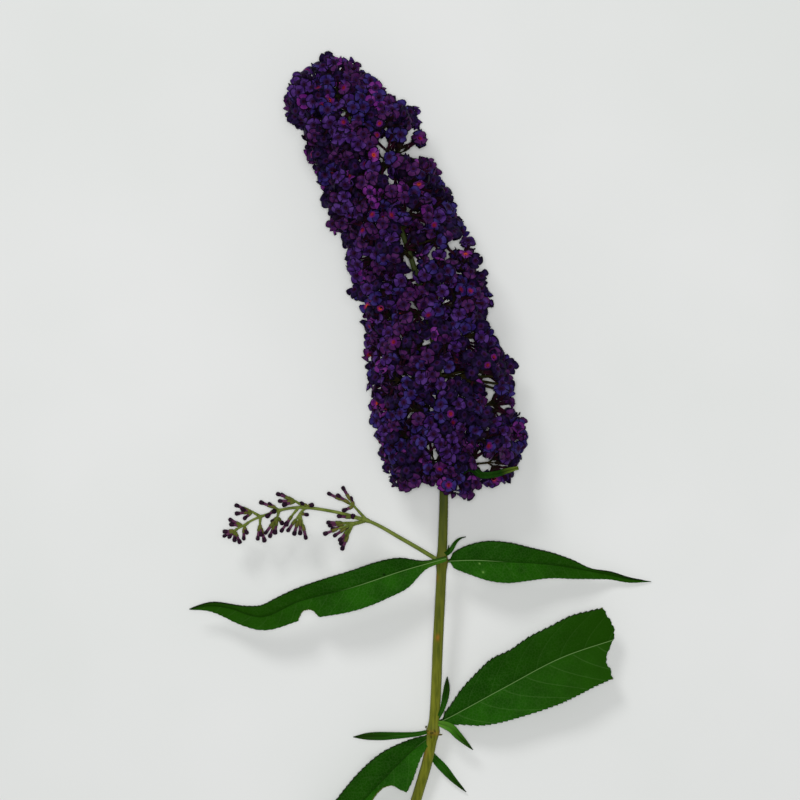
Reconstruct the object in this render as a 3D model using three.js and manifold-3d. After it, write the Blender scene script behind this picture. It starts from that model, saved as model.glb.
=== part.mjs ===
// A cut spray of butterfly bush lying on a level surface: one stem with a dense flower spike at its tip, a side
// spike still in bud, two pairs of leaves and the small leaves of the side shoots.
// Millimetres, +Z up, +Y from the cut end to the tip of the spike, origin under the middle of the spray.
import * as THREE from "three";
import { mergeVertices } from "three/addons/utils/BufferGeometryUtils.js";
import Module from "manifold-3d";

const wasm = await Module();
wasm.setup();

// ---------------------------------------------------------------------------------------------------------------
// Driving dimensions
// ---------------------------------------------------------------------------------------------------------------
const CLEAR = 0.3; // gap that two neighbouring solids keep
const CURVE_STEPS = 400; // steps in which a curve's length is measured
const GOLDEN_ANGLE = Math.PI * (3 - Math.sqrt(5));
const UP = new THREE.Vector3(0, 0, 1);

// Main stem: centreline stations from the cut end to the tip of the spike, each with the stem's thickness there.
const STEM = [
  { at: [-10.6, -154.4, 2.5], thick: 4.7 }, // cut end
  { at: [-1.0, -125.6, 4.6], thick: 4.5 },
  { at: [5.2, -99.6, 8.5], thick: 4.3 }, // lower node
  { at: [7.4, -61.6, 13.0], thick: 4.0 },
  { at: [9.0, -30.4, 16.6], thick: 3.8 }, // upper node
  { at: [9.8, -1.6, 19.2], thick: 3.4 }, // foot of the spike
  { at: [9.4, 26.0, 20.2], thick: 3.0 },
  { at: [6.4, 54.4, 20.4], thick: 2.7 },
  { at: [-1.8, 86.8, 20.4], thick: 2.3 },
  { at: [-15.4, 123.6, 20.4], thick: 1.8 },
  { at: [-27.4, 146.4, 20.8], thick: 1.3 },
  { at: [-33.0, 156.4, 21.0], thick: 0.9 }, // tip
];
const LOWER_NODE = 2; // index of the station
const UPPER_NODE = 4;
const SPIKE_FOOT = 5;
const NODE_SWELL = 0.22; // share by which the stem thickens at a node
const NODE_SPAN = 3.0; // length over which it does, along the stem
const STEM_SIDES = 8; // corners of its section, four of them sharper, as the real stem is four-angled
const STEM_RIDGE = 0.06; // how far the four angles stand out, as a share of the radius
const STEM_STEPS = 26; // even steps along it, besides those at its nodes

// Flower spike: tiers of two opposite clusters, each pair turned a quarter round from the last one.
const TIERS = [
  // distance from the foot of the spike, and how far the flowers reach to the right, the left and upwards
  { from: 10, right: 29.0, left: 23.0, up: 24.0 },
  { from: 21, right: 32.0, left: 27.5, up: 27.0 },
  { from: 33, right: 29.5, left: 28.5, up: 27.5 },
  { from: 46, right: 29.0, left: 28.0, up: 27.5 },
  { from: 59, right: 26.5, left: 27.5, up: 27.0 },
  { from: 72, right: 21.5, left: 26.5, up: 26.5 },
  { from: 85, right: 27.5, left: 27.5, up: 26.5 },
  { from: 98, right: 25.5, left: 26.5, up: 26.0 },
  { from: 110, right: 24.5, left: 26.5, up: 25.5 },
  { from: 122, right: 23.0, left: 25.5, up: 25.0 },
  { from: 134, right: 22.5, left: 24.5, up: 24.5 },
  { from: 146, right: 21.5, left: 24.5, up: 23.5 },
  { from: 157, right: 18.0, left: 22.5, up: 21.0 },
];
const FIRST_PAIR_TURN = 12; // degrees from the level to the first pair
const BRANCHES = [-60, 0, 60]; // a cluster forks into three, at these angles round the stem
const FORK_REACH = 7.5; // distance of that fork from the stem's centreline
const FORK_RISE = 4; // how far up the stem a cluster climbs from its root
const STALK_RADIUS = 0.9;
const BRANCHLET_RADIUS = 0.7;
const FAN = 12.0; // length of a floret with its stalk, from the head of its branchlet to its face
const HEAD = { foot: 2.1, top: 1.3, half: 1.5 }; // the tapered head of a branchlet: half widths and half height
const FLORETS_PER_HEAD = 5; // one from the head's top and one from each side
const FACE_RADIUS = 4.3; // a floret's face, larger than life because there are fewer of them
const FACE_SPACING = 9.2; // distance that faces are eased apart to
const LEAN = 44; // degrees that the outer florets of a head lean from its middle one
const NOTCH = 0.6; // radius at the notches between a face's four lobes, as a share of the lobes' radius
const NECK = { depth: 1.3, radius: 0.75 }; // where the tube meets the face
const EYE_DEPTH = 0.5; // how far the middle of a face lies below its lobes' tips
const NOTCH_DEPTH = 0.2; // how far its notches do
const FACE_SHARES = [1, 0.8]; // a face that has no room at its full size is tried at this share of it
const FLOOR_REST = 1.6; // faces on the underside lie no lower than this, and are pressed flat on the surface
const EASING_ROUNDS = 60;
const SEED = 7;

// Side spike in bud: its stalk, and its clusters. to is where a cluster's buds end, measured from its root.
const SIDE_STALK = [
  { at: [-7.0, -20.5, 19.0], thick: 1.8 },
  { at: [-22.5, -13.2, 20.2], thick: 1.6 },
  { at: [-46.6, -8.6, 19.2], thick: 1.4 },
  { at: [-63.0, -12.2, 17.0], thick: 1.1 },
  { at: [-73.0, -17.4, 15.6], thick: 0.8 },
];
const SIDE_STEPS = 15;
const BUD_CLUSTERS = [
  { name: "bud_cluster_1_upper", along: 0.388, to: [-11.6, 7.6, 2.0], buds: 6, spread: 22 },
  { name: "bud_cluster_1_lower", along: 0.388, to: [-11.8, -8.4, -3.5], buds: 7, spread: 32 },
  { name: "bud_cluster_2_upper", along: 0.67, to: [-8.6, 4.0, 2.0], buds: 5, spread: 24 },
  { name: "bud_cluster_2_lower", along: 0.67, to: [-2.4, -11.2, -4.0], buds: 6, spread: 30 },
  { name: "bud_cluster_3_upper", along: 0.79, to: [-5.4, 4.6, 2.0], buds: 3, spread: 20 },
  { name: "bud_cluster_3_lower", along: 0.79, to: [-1.4, -9.2, -3.0], buds: 6, spread: 30 },
  { name: "bud_cluster_4_upper", along: 0.88, to: [-9.4, 4.4, 2.0], buds: 5, spread: 24 },
  { name: "bud_cluster_4_lower", along: 0.88, to: [-0.6, -9.6, -2.0], buds: 4, spread: 22 },
  { name: "bud_cluster_tip", along: 1, to: [-5.2, -3.4, -0.5], buds: 7, spread: 62 },
];
const BUD = { root: 0.35, head: 0.95, headLength: 1.9 }; // radii, and how far back the thickest place is
const BUD_TWIG = { foot: 0.62, head: 0.5, share: 0.45 }; // radii, and its share of the cluster's length
const BUD_ROOTS = { first: 0.95, last: 0.35 }; // shares of the twig between which the buds root
const BUD_LENGTH = { least: 0.62, spread: 0.12 }; // a bud's share of the cluster's length

// Leaves: the node of the stem, how far above it the leaf is seated, the midrib's points beyond that seat, half
// widths at even steps along it to its left and right (seen from above, looking to the tip), and a bite.
const LEAVES = [
  {
    name: "leaf_upper_left",
    node: UPPER_NODE,
    above: -1,
    midrib: [
      [-6.2, -35.0, 17.4],
      [-27.0, -40.2, 18.8],
      [-47.6, -46.2, 17.4],
      [-61.6, -51.6, 14.8],
      [-75.4, -50.8, 12.6],
      [-92.4, -48.2, 11.4],
    ],
    left: [0.6, 4.2, 7.4, 8.2, 8.6, 8.4, 6.9, 6.2, 6.9, 6.8, 4.6, 2.0, 0.2],
    right: [0.6, 4.0, 7.0, 7.8, 7.7, 7.0, 6.4, 5.4, 4.3, 3.5, 3.4, 2.7, 0.2],
    bite: { side: "left", at: 0.57, span: 0.055, deep: 0.75 },
    thick: 1.05,
    fold: 0.14,
    steps: 34,
  },
  {
    name: "leaf_upper_right",
    node: UPPER_NODE,
    above: 0,
    midrib: [
      [21.8, -29.9, 17.2],
      [33.6, -30.5, 16.4],
      [45.8, -31.2, 14.0],
      [57.8, -32.6, 10.8],
      [75.8, -36.0, 4.8],
      [92.4, -38.8, 1.0],
    ],
    left: [0.6, 7.0, 8.4, 7.9, 6.4, 5.0, 3.3, 2.0, 1.2, 0.7, 0.2],
    right: [0.6, 5.6, 7.8, 7.2, 5.6, 4.2, 3.2, 2.3, 1.5, 1.0, 0.2],
    thick: 0.95,
    fold: 0.16,
    steps: 22,
  },
  {
    name: "leaf_lower_right",
    node: LOWER_NODE,
    above: 3.5,
    midrib: [
      [13.2, -93.0, 10.6],
      [34.4, -81.8, 12.0],
      [57.2, -70.4, 12.2],
      [81.6, -62.4, 10.6],
    ],
    left: [0.6, 4.6, 8.2, 10.2, 11.2, 11.6, 11.8, 12.2, 12.8, 13.0, 12.2],
    right: [0.6, 4.6, 8.2, 10.8, 13.0, 14.4, 15.6, 15.4, 14.4, 13.2, 12.4],
    torn: [0.92, 0.925, 0.945, 1.0, 0.975], // share of the length where the torn end lies, right to left
    thick: 1.0,
    fold: 0.1,
    steps: 22,
  },
  {
    name: "leaf_lower_left",
    node: LOWER_NODE,
    above: -1.5,
    midrib: [
      [-4.0, -108.4, 10.2],
      [-17.0, -121.4, 11.4],
      [-33.4, -139.0, 9.0],
      [-49.6, -157.0, 4.0],
      [-61.6, -170.0, 0.9],
    ],
    left: [0.6, 4.4, 8.8, 11.2, 12.0, 11.6, 10.0, 7.8, 5.2, 2.4, 0.2],
    right: [0.6, 4.8, 8.6, 10.6, 11.2, 11.0, 9.8, 7.8, 5.4, 2.6, 0.2],
    bite: { side: "left", at: 0.35, span: 0.1, deep: 0.66 },
    thick: 1.0,
    fold: 0.14,
    steps: 26,
  },
  smallLeaf("shoot_leaf_upper", UPPER_NODE, 3, 0.95, [
    [13.6, -23.6, 20.4],
    [18.8, -20.0, 20.6],
  ]),
  smallLeaf("shoot_leaf_rising", LOWER_NODE, 9, 1.2, [
    [9.6, -87.0, 13.0],
    [11.0, -76.6, 16.2],
  ]),
  smallLeaf("shoot_leaf_hanging", LOWER_NODE, 5, 1.7, [
    [9.6, -94.6, 13.4],
    [15.0, -98.4, 14.0],
    [21.6, -106.2, 9.4],
  ]),
  smallLeaf("shoot_leaf_left", LOWER_NODE, 3, 1.6, [
    [0.6, -97.4, 12.6],
    [-12.0, -99.2, 14.6],
    [-26.6, -101.8, 12.0],
  ]),
  smallLeaf("shoot_leaf_under", LOWER_NODE, -5, 1.8, [
    [7.6, -110.4, 4.6],
    [13.0, -118.2, 3.4],
    [19.2, -124.8, 2.2],
  ]),
  smallLeaf("bract_leaf", SPIKE_FOOT, 0, 1.4, [
    [20.4, 1.6, 25.0],
    [30.0, 3.0, 27.0],
    [39.6, 8.0, 26.0],
  ]),
];

// ---------------------------------------------------------------------------------------------------------------
// Tools
// ---------------------------------------------------------------------------------------------------------------
const vec = (p) => new THREE.Vector3(...p);
const radians = THREE.MathUtils.degToRad;

// A curve through points, smooth and of even tension.
function curveThrough(points) {
  return new THREE.CatmullRomCurve3(points.map(vec), false, "catmullrom", 0.5);
}

// The value at share u of a list of evenly spaced values, joined by straight lines.
function along(values, u) {
  const place = THREE.MathUtils.clamp(u, 0, 1) * (values.length - 1);
  const i = Math.min(Math.floor(place), values.length - 2);
  return THREE.MathUtils.lerp(values[i], values[i + 1], place - i);
}

// Random numbers from 0 to 1 that are the same on every run.
function seeded(seed) {
  let state = seed >>> 0;
  return () => {
    state = (Math.imul(1664525, state) + 1013904223) >>> 0;
    return state / 4294967296;
  };
}

// Two unit vectors square to direction and to each other: side, and then side × across = direction.
function squareTo(direction) {
  const help = Math.abs(direction.z) > 0.9 ? new THREE.Vector3(0, 1, 0) : UP;
  const side = new THREE.Vector3().crossVectors(help, direction).normalize();
  return { side, across: new THREE.Vector3().crossVectors(direction, side) };
}

// The point of the form centre + side·x + across·y.
function offset(centre, side, x, across, y) {
  return centre.clone().addScaledVector(side, x).addScaledVector(across, y);
}

// Joins the two sides of a ring of points rung by rung, as the end of a skin.
function endCap(first, count, outward) {
  const faces = [[0, 1, count - 1]];
  for (let a = 1, b = count - 1; b - a > 1; a++, b--) {
    faces.push([a, a + 1, b]);
    if (b - 1 > a + 1) faces.push([a + 1, b - 1, b]);
  }
  return faces.flatMap(([a, b, c]) => (outward ? [a, b, c] : [a, c, b]).map((i) => first + i));
}

// A closed surface over rings of as many points each, which turn anticlockwise about the way they go.
function skin(rings) {
  const count = rings[0].length;
  const index = endCap(0, count, false);
  for (let r = 0; r + 1 < rings.length; r++)
    for (let i = 0; i < count; i++) {
      const a = r * count + i;
      const b = r * count + ((i + 1) % count);
      index.push(a, b, b + count, a, b + count, a + count);
    }
  index.push(...endCap((rings.length - 1) * count, count, true));
  return meshGeometry(rings.flat(), index);
}

function meshGeometry(points, index) {
  const position = new Float32Array(points.flatMap((p) => p.toArray()));
  const geometry = new THREE.BufferGeometry();
  geometry.setAttribute("position", new THREE.BufferAttribute(position, 3));
  return geometry.setIndex(index);
}

function ring(centre, direction, radius, sides) {
  const { side, across } = squareTo(direction);
  return Array.from({ length: sides }, (_, i) => {
    const angle = (2 * Math.PI * i) / sides;
    return offset(centre, side, radius * Math.cos(angle), across, radius * Math.sin(angle));
  });
}

// A straight three-sided twig.
function twig(from, to, footRadius, headRadius) {
  const direction = to.clone().sub(from).normalize();
  return skin([ring(from, direction, footRadius, 3), ring(to, direction, headRadius, 3)]);
}

// A closed geometry as a solid that can be joined and tested, and the box round it.
function bodyOf(geometry) {
  const merged = mergeVertices(geometry, 1e-4);
  const triVerts = new Uint32Array(merged.index.array);
  const vertProperties = merged.attributes.position.array;
  const solid = new wasm.Manifold(new wasm.Mesh({ numProp: 3, vertProperties, triVerts }));
  return { solid, box: new THREE.Box3().setFromBufferAttribute(merged.attributes.position) };
}

const touch = (a, b) => a.box.intersectsBox(b.box) && a.solid.intersect(b.solid).volume() > 1e-6;

// Joins closed geometries into one.
function fuse(geometries) {
  const [first, ...rest] = geometries.map((geometry) => bodyOf(geometry).solid);
  const joined = rest.reduce((sum, solid) => sum.add(solid), first).getMesh();
  const geometry = new THREE.BufferGeometry();
  geometry.setAttribute("position", new THREE.BufferAttribute(joined.vertProperties, 3));
  return geometry.setIndex(new THREE.BufferAttribute(joined.triVerts, 1));
}

// ---------------------------------------------------------------------------------------------------------------
// Stems
// ---------------------------------------------------------------------------------------------------------------
const stemCurve = curveThrough(STEM.map((s) => s.at));
const stemThickness = STEM.map((s) => s.thick);
const stemLength = stemCurve.getLength();
const lengthTo = (station) => {
  const target = station / (STEM.length - 1);
  return stemCurve.getLengths(CURVE_STEPS)[Math.round(target * CURVE_STEPS)];
};
const nodeLengths = [lengthTo(LOWER_NODE), lengthTo(UPPER_NODE)];
const footLength = lengthTo(SPIKE_FOOT);

function stemRadius(length) {
  const bare = along(stemThickness, stemCurve.getUtoTmapping(length / stemLength)) / 2;
  const swell = nodeLengths.reduce((sum, at) => sum + Math.exp(-(((length - at) / NODE_SPAN) ** 2)), 0);
  return bare * (1 + NODE_SWELL * swell);
}

function mainStem() {
  const even = Array.from({ length: STEM_STEPS + 1 }, (_, i) => (i / STEM_STEPS) * stemLength);
  const away = even.filter((length) => nodeLengths.every((at) => Math.abs(length - at) > 1.6 * NODE_SPAN));
  const atNodes = nodeLengths.flatMap((at) => [-1.5, -0.7, 0, 0.7, 1.5].map((k) => at + k * NODE_SPAN));
  const lengths = [...away, ...atNodes].sort((a, b) => a - b);
  const rings = lengths.map((length) => {
    const u = length / stemLength;
    const { side, across } = squareTo(stemCurve.getTangentAt(u));
    const centre = stemCurve.getPointAt(u);
    return Array.from({ length: STEM_SIDES }, (_, k) => {
      const angle = (2 * Math.PI * k) / STEM_SIDES;
      const radius = stemRadius(length) * (1 + STEM_RIDGE * (k % 2 ? 1 : -1));
      return offset(centre, side, radius * Math.cos(angle), across, radius * Math.sin(angle));
    });
  });
  return skin(rings);
}

// The point beside a limb, towards another point, that a piece ending there needs to stay clear of the limb.
function seatBeside(curve, u, radius, towards, pieceHalf) {
  const centre = curve.getPointAt(u);
  const outward = towards.clone().sub(centre).projectOnPlane(curve.getTangentAt(u)).normalize();
  return centre.addScaledVector(outward, radius + CLEAR + pieceHalf);
}

function stemSeat(length, towards, pieceHalf) {
  return seatBeside(stemCurve, length / stemLength, stemRadius(length) * (1 + STEM_RIDGE), towards, pieceHalf);
}

const sideStations = SIDE_STALK.map((s) => s.at);
const sideSeat = stemSeat(lengthTo(UPPER_NODE) + 1, vec(sideStations[0]), SIDE_STALK[0].thick / 4);
const sideCurve = curveThrough([sideSeat.toArray(), ...sideStations]);
const sideThickness = [SIDE_STALK[0].thick, ...SIDE_STALK.map((s) => s.thick)];
const sideRadius = (u) => along(sideThickness, sideCurve.getUtoTmapping(u)) / 2;

function sideStalk() {
  const rings = [];
  for (let i = 0; i <= SIDE_STEPS; i++) {
    const u = i / SIDE_STEPS;
    rings.push(ring(sideCurve.getPointAt(u), sideCurve.getTangentAt(u), sideRadius(u), 6));
  }
  return skin(rings);
}

// ---------------------------------------------------------------------------------------------------------------
// Leaves
// ---------------------------------------------------------------------------------------------------------------
function smallLeaf(name, node, above, halfWidth, midrib) {
  const widths = [0.35, 0.75, 1, 0.95, 0.7, 0.4, 0.08].map((share) => share * halfWidth);
  return { name, node, above, midrib, left: widths, right: widths, thick: 0.5, fold: 0.2, steps: 7 };
}

// A leaf's midrib, from a point just clear of the stem beside its node.
function midribCurve(leaf) {
  const seat = stemSeat(lengthTo(leaf.node) + leaf.above, vec(leaf.midrib[0]), leaf.thick / 4);
  return curveThrough([seat.toArray(), ...leaf.midrib]);
}

// How much of the half width on one side a bite leaves at share u of the length.
function bitten(leaf, side, u) {
  if (!leaf.bite || leaf.bite.side !== side) return 1;
  const away = Math.abs(u - leaf.bite.at) / leaf.bite.span;
  return away >= 1 ? 1 : 1 - leaf.bite.deep * Math.sqrt(1 - away * away);
}

// One leaf blade with its stalk: each section is a shallow V, three points on top and three below.
function leafBlade(leaf) {
  const curve = midribCurve(leaf);
  const section = [1, 0, -1].flatMap((share) => ({ share, rise: 0.5 }));
  section.push(...[-1, 0, 1].map((share) => ({ share, rise: -0.5 })));
  const rings = [];
  for (let i = 0; i <= leaf.steps; i++) {
    const u = i / leaf.steps;
    const left = along(leaf.left, u) * bitten(leaf, "left", u);
    const right = along(leaf.right, u) * bitten(leaf, "right", u);
    rings.push(
      section.map(({ share, rise }) => {
        const at = u * (leaf.torn ? along(leaf.torn, (share + 1) / 2) : 1);
        const direction = curve.getTangentAt(at);
        const side = new THREE.Vector3().crossVectors(UP, direction).normalize();
        const top = new THREE.Vector3().crossVectors(direction, side);
        const width = share > 0 ? left : right;
        const lift = leaf.fold * Math.abs(share) * width + rise * leaf.thick;
        const point = offset(curve.getPointAt(at), side, share * width, top, lift);
        return point.setZ(Math.max(point.z, (rise + 0.5) * leaf.thick));
      }),
    );
  }
  return skin(rings);
}

// ---------------------------------------------------------------------------------------------------------------
// Flower spike
// ---------------------------------------------------------------------------------------------------------------
// The stem's centre and the directions right of it and above it, at a distance from the foot of the spike.
function stemFrame(from) {
  const u = Math.min((footLength + from) / stemLength, 1);
  const forward = stemCurve.getTangentAt(u);
  const right = new THREE.Vector3().crossVectors(forward, UP).normalize();
  const above = new THREE.Vector3().crossVectors(right, forward);
  return { centre: stemCurve.getPointAt(u), forward, right, above };
}

const around = (frame, angle) =>
  offset(new THREE.Vector3(), frame.right, Math.cos(angle), frame.above, Math.sin(angle));

// How far the flowers of a tier reach from the stem in one direction round it.
function reachOf(tier, angle) {
  const sideways = Math.cos(angle) > 0 ? tier.right : tier.left;
  return 1 / Math.hypot(Math.cos(angle) / sideways, Math.sin(angle) / tier.up);
}

// The heads of the branchlets of one cluster: where each head is, and the way that its middle floret points.
function clusterHeads(tier, angle) {
  const frame = stemFrame(tier.from);
  return BRANCHES.map((branch) => {
    const turn = angle + radians(branch);
    const outward = around(frame, turn);
    const centre = frame.centre.clone().addScaledVector(outward, reachOf(tier, turn) - FAN);
    return { centre, outward };
  });
}

// The faces of a head's florets before easing: the middle one, and four that lean out from it.
function firstFaces(head, random) {
  const { side, across } = squareTo(head.outward);
  const spin = random() * 2 * Math.PI;
  const turned = [side, across].map((v) => v.clone().applyAxisAngle(head.outward, spin));
  const faces = [head.outward.clone()];
  for (let i = 0; i < FLORETS_PER_HEAD - 1; i++) {
    const angle = (i * 2 * Math.PI) / (FLORETS_PER_HEAD - 1) + (random() - 0.5) * 0.4;
    const lean = radians(LEAN) * (0.9 + 0.2 * random());
    const out = offset(new THREE.Vector3(), turned[0], Math.cos(angle), turned[1], Math.sin(angle));
    faces.push(head.outward.clone().multiplyScalar(Math.cos(lean)).addScaledVector(out, Math.sin(lean)));
  }
  return faces.map((direction) => ({ head, at: head.centre.clone().addScaledVector(direction, FAN) }));
}

// Eases the faces apart, each on the sphere round its own head and none below the surface the spray lies on.
function ease(faces) {
  for (let round = 0; round < EASING_ROUNDS; round++) {
    const pushes = faces.map(() => new THREE.Vector3());
    faces.forEach((a, i) => {
      for (let j = i + 1; j < faces.length; j++) {
        const apart = a.at.clone().sub(faces[j].at);
        const distance = apart.length();
        if (distance >= FACE_SPACING) continue;
        apart.multiplyScalar((0.25 * (FACE_SPACING - distance)) / Math.max(distance, 0.01));
        pushes[i].add(apart);
        pushes[j].sub(apart);
      }
    });
    faces.forEach((face, i) => {
      face.at.add(pushes[i]).sub(face.head.centre).setLength(FAN).add(face.head.centre);
      face.at.z = Math.max(face.at.z, FLOOR_REST);
    });
  }
}

// Each face is as large as its nearest neighbour allows.
function sizeFaces(faces) {
  for (const face of faces) {
    const nearest = Math.min(...faces.filter((f) => f !== face).map((f) => f.at.distanceTo(face.at)));
    face.radius = Math.min(FACE_RADIUS, nearest / 2 - CLEAR / 2);
  }
}

// The tapered block of a head: its corners, and the four of them that each floret grows out of.
function headBlock({ centre, outward, faces }) {
  const first = faces[1].at.clone().sub(centre).projectOnPlane(outward).normalize();
  const second = new THREE.Vector3().crossVectors(outward, first);
  const square = (half, rise) =>
    [0, 1, 2, 3].map((i) => {
      const angle = ((i - 0.5) * Math.PI) / 2;
      const reach = half * Math.SQRT2;
      const corner = offset(centre, first, Math.cos(angle) * reach, second, Math.sin(angle) * reach);
      return corner.addScaledVector(outward, rise);
    });
  const corners = [...square(HEAD.foot, -HEAD.half), ...square(HEAD.top, HEAD.half)];
  const sides = [0, 1, 2, 3].map((i) => [i, (i + 1) % 4, 4 + ((i + 1) % 4), 4 + i]);
  return { corners, feet: [[4, 5, 6, 7], ...sides] };
}

// Grows one floret out of a four-cornered foot: a tube, the underside of the four-lobed face and its top.
function growFloret(mesh, foot, face, radius) {
  const middle = foot.reduce((sum, p) => sum.add(mesh.points[p]), new THREE.Vector3()).divideScalar(4);
  const outward = face.at.clone().sub(face.head.centre).normalize();
  if (face.at.z <= FLOOR_REST) outward.set(outward.x / 2, outward.y / 2, -1).normalize();
  const spokes = foot.map((p) => mesh.points[p].clone().sub(middle).projectOnPlane(outward).normalize());
  const at = (spoke, reach, rise) => {
    const point = offset(face.at, spoke, reach, outward, rise);
    return mesh.points.push(point.setZ(Math.max(point.z, 0))) - 1;
  };
  const between = spokes.map((spoke, i) => spoke.clone().add(spokes[(i + 1) % 4]).normalize());
  const neck = spokes.map((spoke) => at(spoke, NECK.radius, -NECK.depth));
  const lobes = spokes.map((spoke) => at(spoke, radius, 0));
  const notches = between.map((spoke) => at(spoke, radius * NOTCH, -NOTCH_DEPTH));
  const eye = at(outward, 0, -EYE_DEPTH);
  for (let i = 0; i < 4; i++) {
    const j = (i + 1) % 4;
    mesh.index.push(foot[i], foot[j], neck[j], foot[i], neck[j], neck[i]);
    mesh.index.push(neck[i], neck[j], notches[i], neck[j], lobes[j], notches[i]);
    mesh.index.push(neck[i], notches[i], lobes[i]);
    mesh.index.push(lobes[i], notches[i], eye, notches[i], lobes[j], eye);
  }
}

// One floret by itself, with a margin round its face, to test whether it has room.
function floretAlone(block, foot, face) {
  const mesh = { points: foot.map((p) => block.corners[p].clone()), index: [0, 3, 2, 0, 2, 1] };
  growFloret(mesh, [0, 1, 2, 3], face, face.radius + CLEAR);
  return meshGeometry(mesh.points, mesh.index);
}

// A head and those of its florets that have room.
function headWithFlorets({ block, faces }) {
  const mesh = { points: [...block.corners], index: [0, 3, 2, 0, 2, 1] };
  block.feet.forEach((foot, i) => {
    const [a, b, c, d] = foot;
    if (faces[i].room) growFloret(mesh, foot, faces[i], faces[i].radius);
    else mesh.index.push(a, b, c, a, c, d);
  });
  return meshGeometry(mesh.points, mesh.index);
}

// The twigs of a cluster: its stalk from the stem, and a branchlet from the fork to each head.
function clusterTwigs(tier, angle, heads) {
  const root = stemFrame(tier.from - FORK_RISE);
  const frame = stemFrame(tier.from - 1);
  const fork = frame.centre.clone().addScaledVector(around(frame, angle), FORK_REACH);
  const surface = stemRadius(footLength + tier.from - FORK_RISE) * (1 + STEM_RIDGE);
  const foot = root.centre.clone().addScaledVector(around(root, angle), surface + CLEAR + STALK_RADIUS / 2);
  const beyond = fork.clone().add(fork.clone().sub(foot).setLength(BRANCHLET_RADIUS));
  const branchlets = heads.map((head) => twig(fork, head.centre, BRANCHLET_RADIUS, BRANCHLET_RADIUS));
  return [twig(foot, beyond, STALK_RADIUS, STALK_RADIUS), ...branchlets];
}

// Finds which florets have room between the obstacles and the rest of the spike, smaller where they must be.
function findRoom(clusters, obstacles) {
  const bare = clusters.map((c) => [...c.twigs, ...c.heads.map(headWithFlorets)].map(bodyOf));
  const kept = clusters.map(() => []);
  clusters.forEach((cluster, c) => {
    const others = [...obstacles, ...bare.filter((_, i) => i !== c).flat(), ...kept.slice(0, c).flat()];
    for (const head of cluster.heads) {
      const sameHead = [];
      head.faces.forEach((face, i) => {
        const full = face.radius;
        for (const share of FACE_SHARES) {
          face.radius = full * share;
          const alone = bodyOf(floretAlone(head.block, head.block.feet[i], face));
          if ([...sameHead, ...others].some((other) => touch(alone, other))) continue;
          face.room = true;
          sameHead.push(alone);
          break;
        }
      });
      kept[c].push(...sameHead);
    }
  });
}

// All the clusters of the spike, with the little one that ends it.
function spikeClusters(obstacles) {
  const clusters = TIERS.flatMap((tier, t) =>
    (t % 2 ? ["upper", "lower"] : ["right", "left"]).map((side, half) => {
      const angle = radians(FIRST_PAIR_TURN + 90 * (t % 2) + 180 * half);
      const heads = clusterHeads(tier, angle);
      const name = "flower_cluster_" + String(t + 1).padStart(2, "0") + "_" + side;
      return { name, heads, twigs: clusterTwigs(tier, angle, heads) };
    }),
  );
  const { centre, forward } = stemFrame(stemLength - footLength);
  const tipHead = { centre: centre.addScaledVector(forward, CLEAR + HEAD.half), outward: forward };
  clusters.push({ name: "flower_cluster_tip", heads: [tipHead], twigs: [] });
  const random = seeded(SEED);
  const heads = clusters.flatMap((cluster) => cluster.heads);
  for (const head of heads) head.faces = firstFaces(head, random);
  const faces = heads.flatMap((head) => head.faces);
  ease(faces);
  sizeFaces(faces);
  for (const head of heads) head.block = headBlock(head);
  findRoom(clusters, obstacles.map(bodyOf));
  return clusters.map((c) => ({ name: c.name, geometry: fuse([...c.twigs, ...c.heads.map(headWithFlorets)]) }));
}

// ---------------------------------------------------------------------------------------------------------------
// Side spike in bud
// ---------------------------------------------------------------------------------------------------------------
// A bud: a three-sided club.
function bud(root, tip) {
  const direction = tip.clone().sub(root).normalize();
  const thickest = tip.clone().addScaledVector(direction, -BUD.headLength / 2);
  const rings = [ring(root, direction, BUD.root, 3), ring(thickest, direction, BUD.head, 3)];
  return skin([...rings, ring(tip, direction, BUD.head / 2, 3)]);
}

// A cluster of buds: one twig from the stalk, and buds that fan out from its outer part.
function budCluster(spec, seed) {
  const random = seeded(seed);
  const node = sideCurve.getPointAt(spec.along);
  const reach = vec(spec.to);
  const target = node.clone().add(reach);
  const direction = reach.clone().normalize();
  const beside = () => seatBeside(sideCurve, spec.along, sideRadius(spec.along), target, BUD_TWIG.foot);
  const foot = spec.along < 1 ? beside() : node.addScaledVector(sideCurve.getTangentAt(1), CLEAR);
  const fork = foot.clone().addScaledVector(direction, reach.length() * BUD_TWIG.share);
  const { side, across } = squareTo(direction);
  const parts = [twig(foot, fork, BUD_TWIG.foot, BUD_TWIG.head)];
  for (let i = 0; i < spec.buds; i++) {
    const share = (i + 0.5) / spec.buds;
    const angle = i * GOLDEN_ANGLE + random() * 0.5;
    const lean = radians(spec.spread) * Math.sqrt(share);
    const root = foot.clone().lerp(fork, THREE.MathUtils.lerp(BUD_ROOTS.first, BUD_ROOTS.last, share));
    const out = offset(new THREE.Vector3(), side, Math.cos(angle), across, Math.sin(angle));
    const way = direction.clone().multiplyScalar(Math.cos(lean)).addScaledVector(out, Math.sin(lean));
    const length = reach.length() * (BUD_LENGTH.least + BUD_LENGTH.spread * random());
    parts.push(bud(root, root.clone().addScaledVector(way, length)));
  }
  return fuse(parts);
}

// ---------------------------------------------------------------------------------------------------------------
// The spray
// ---------------------------------------------------------------------------------------------------------------
const bark = new THREE.MeshStandardMaterial({ color: 0x6f7a2c, roughness: 0.7, metalness: 0 });
const leafGreen = new THREE.MeshStandardMaterial({ color: 0x1d5a12, roughness: 0.55, metalness: 0 });
const budViolet = new THREE.MeshStandardMaterial({ color: 0x5b3a4e, roughness: 0.7, metalness: 0 });
const flowerViolet = new THREE.MeshStandardMaterial({ color: 0x3a1570, roughness: 0.7, metalness: 0 });

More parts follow.
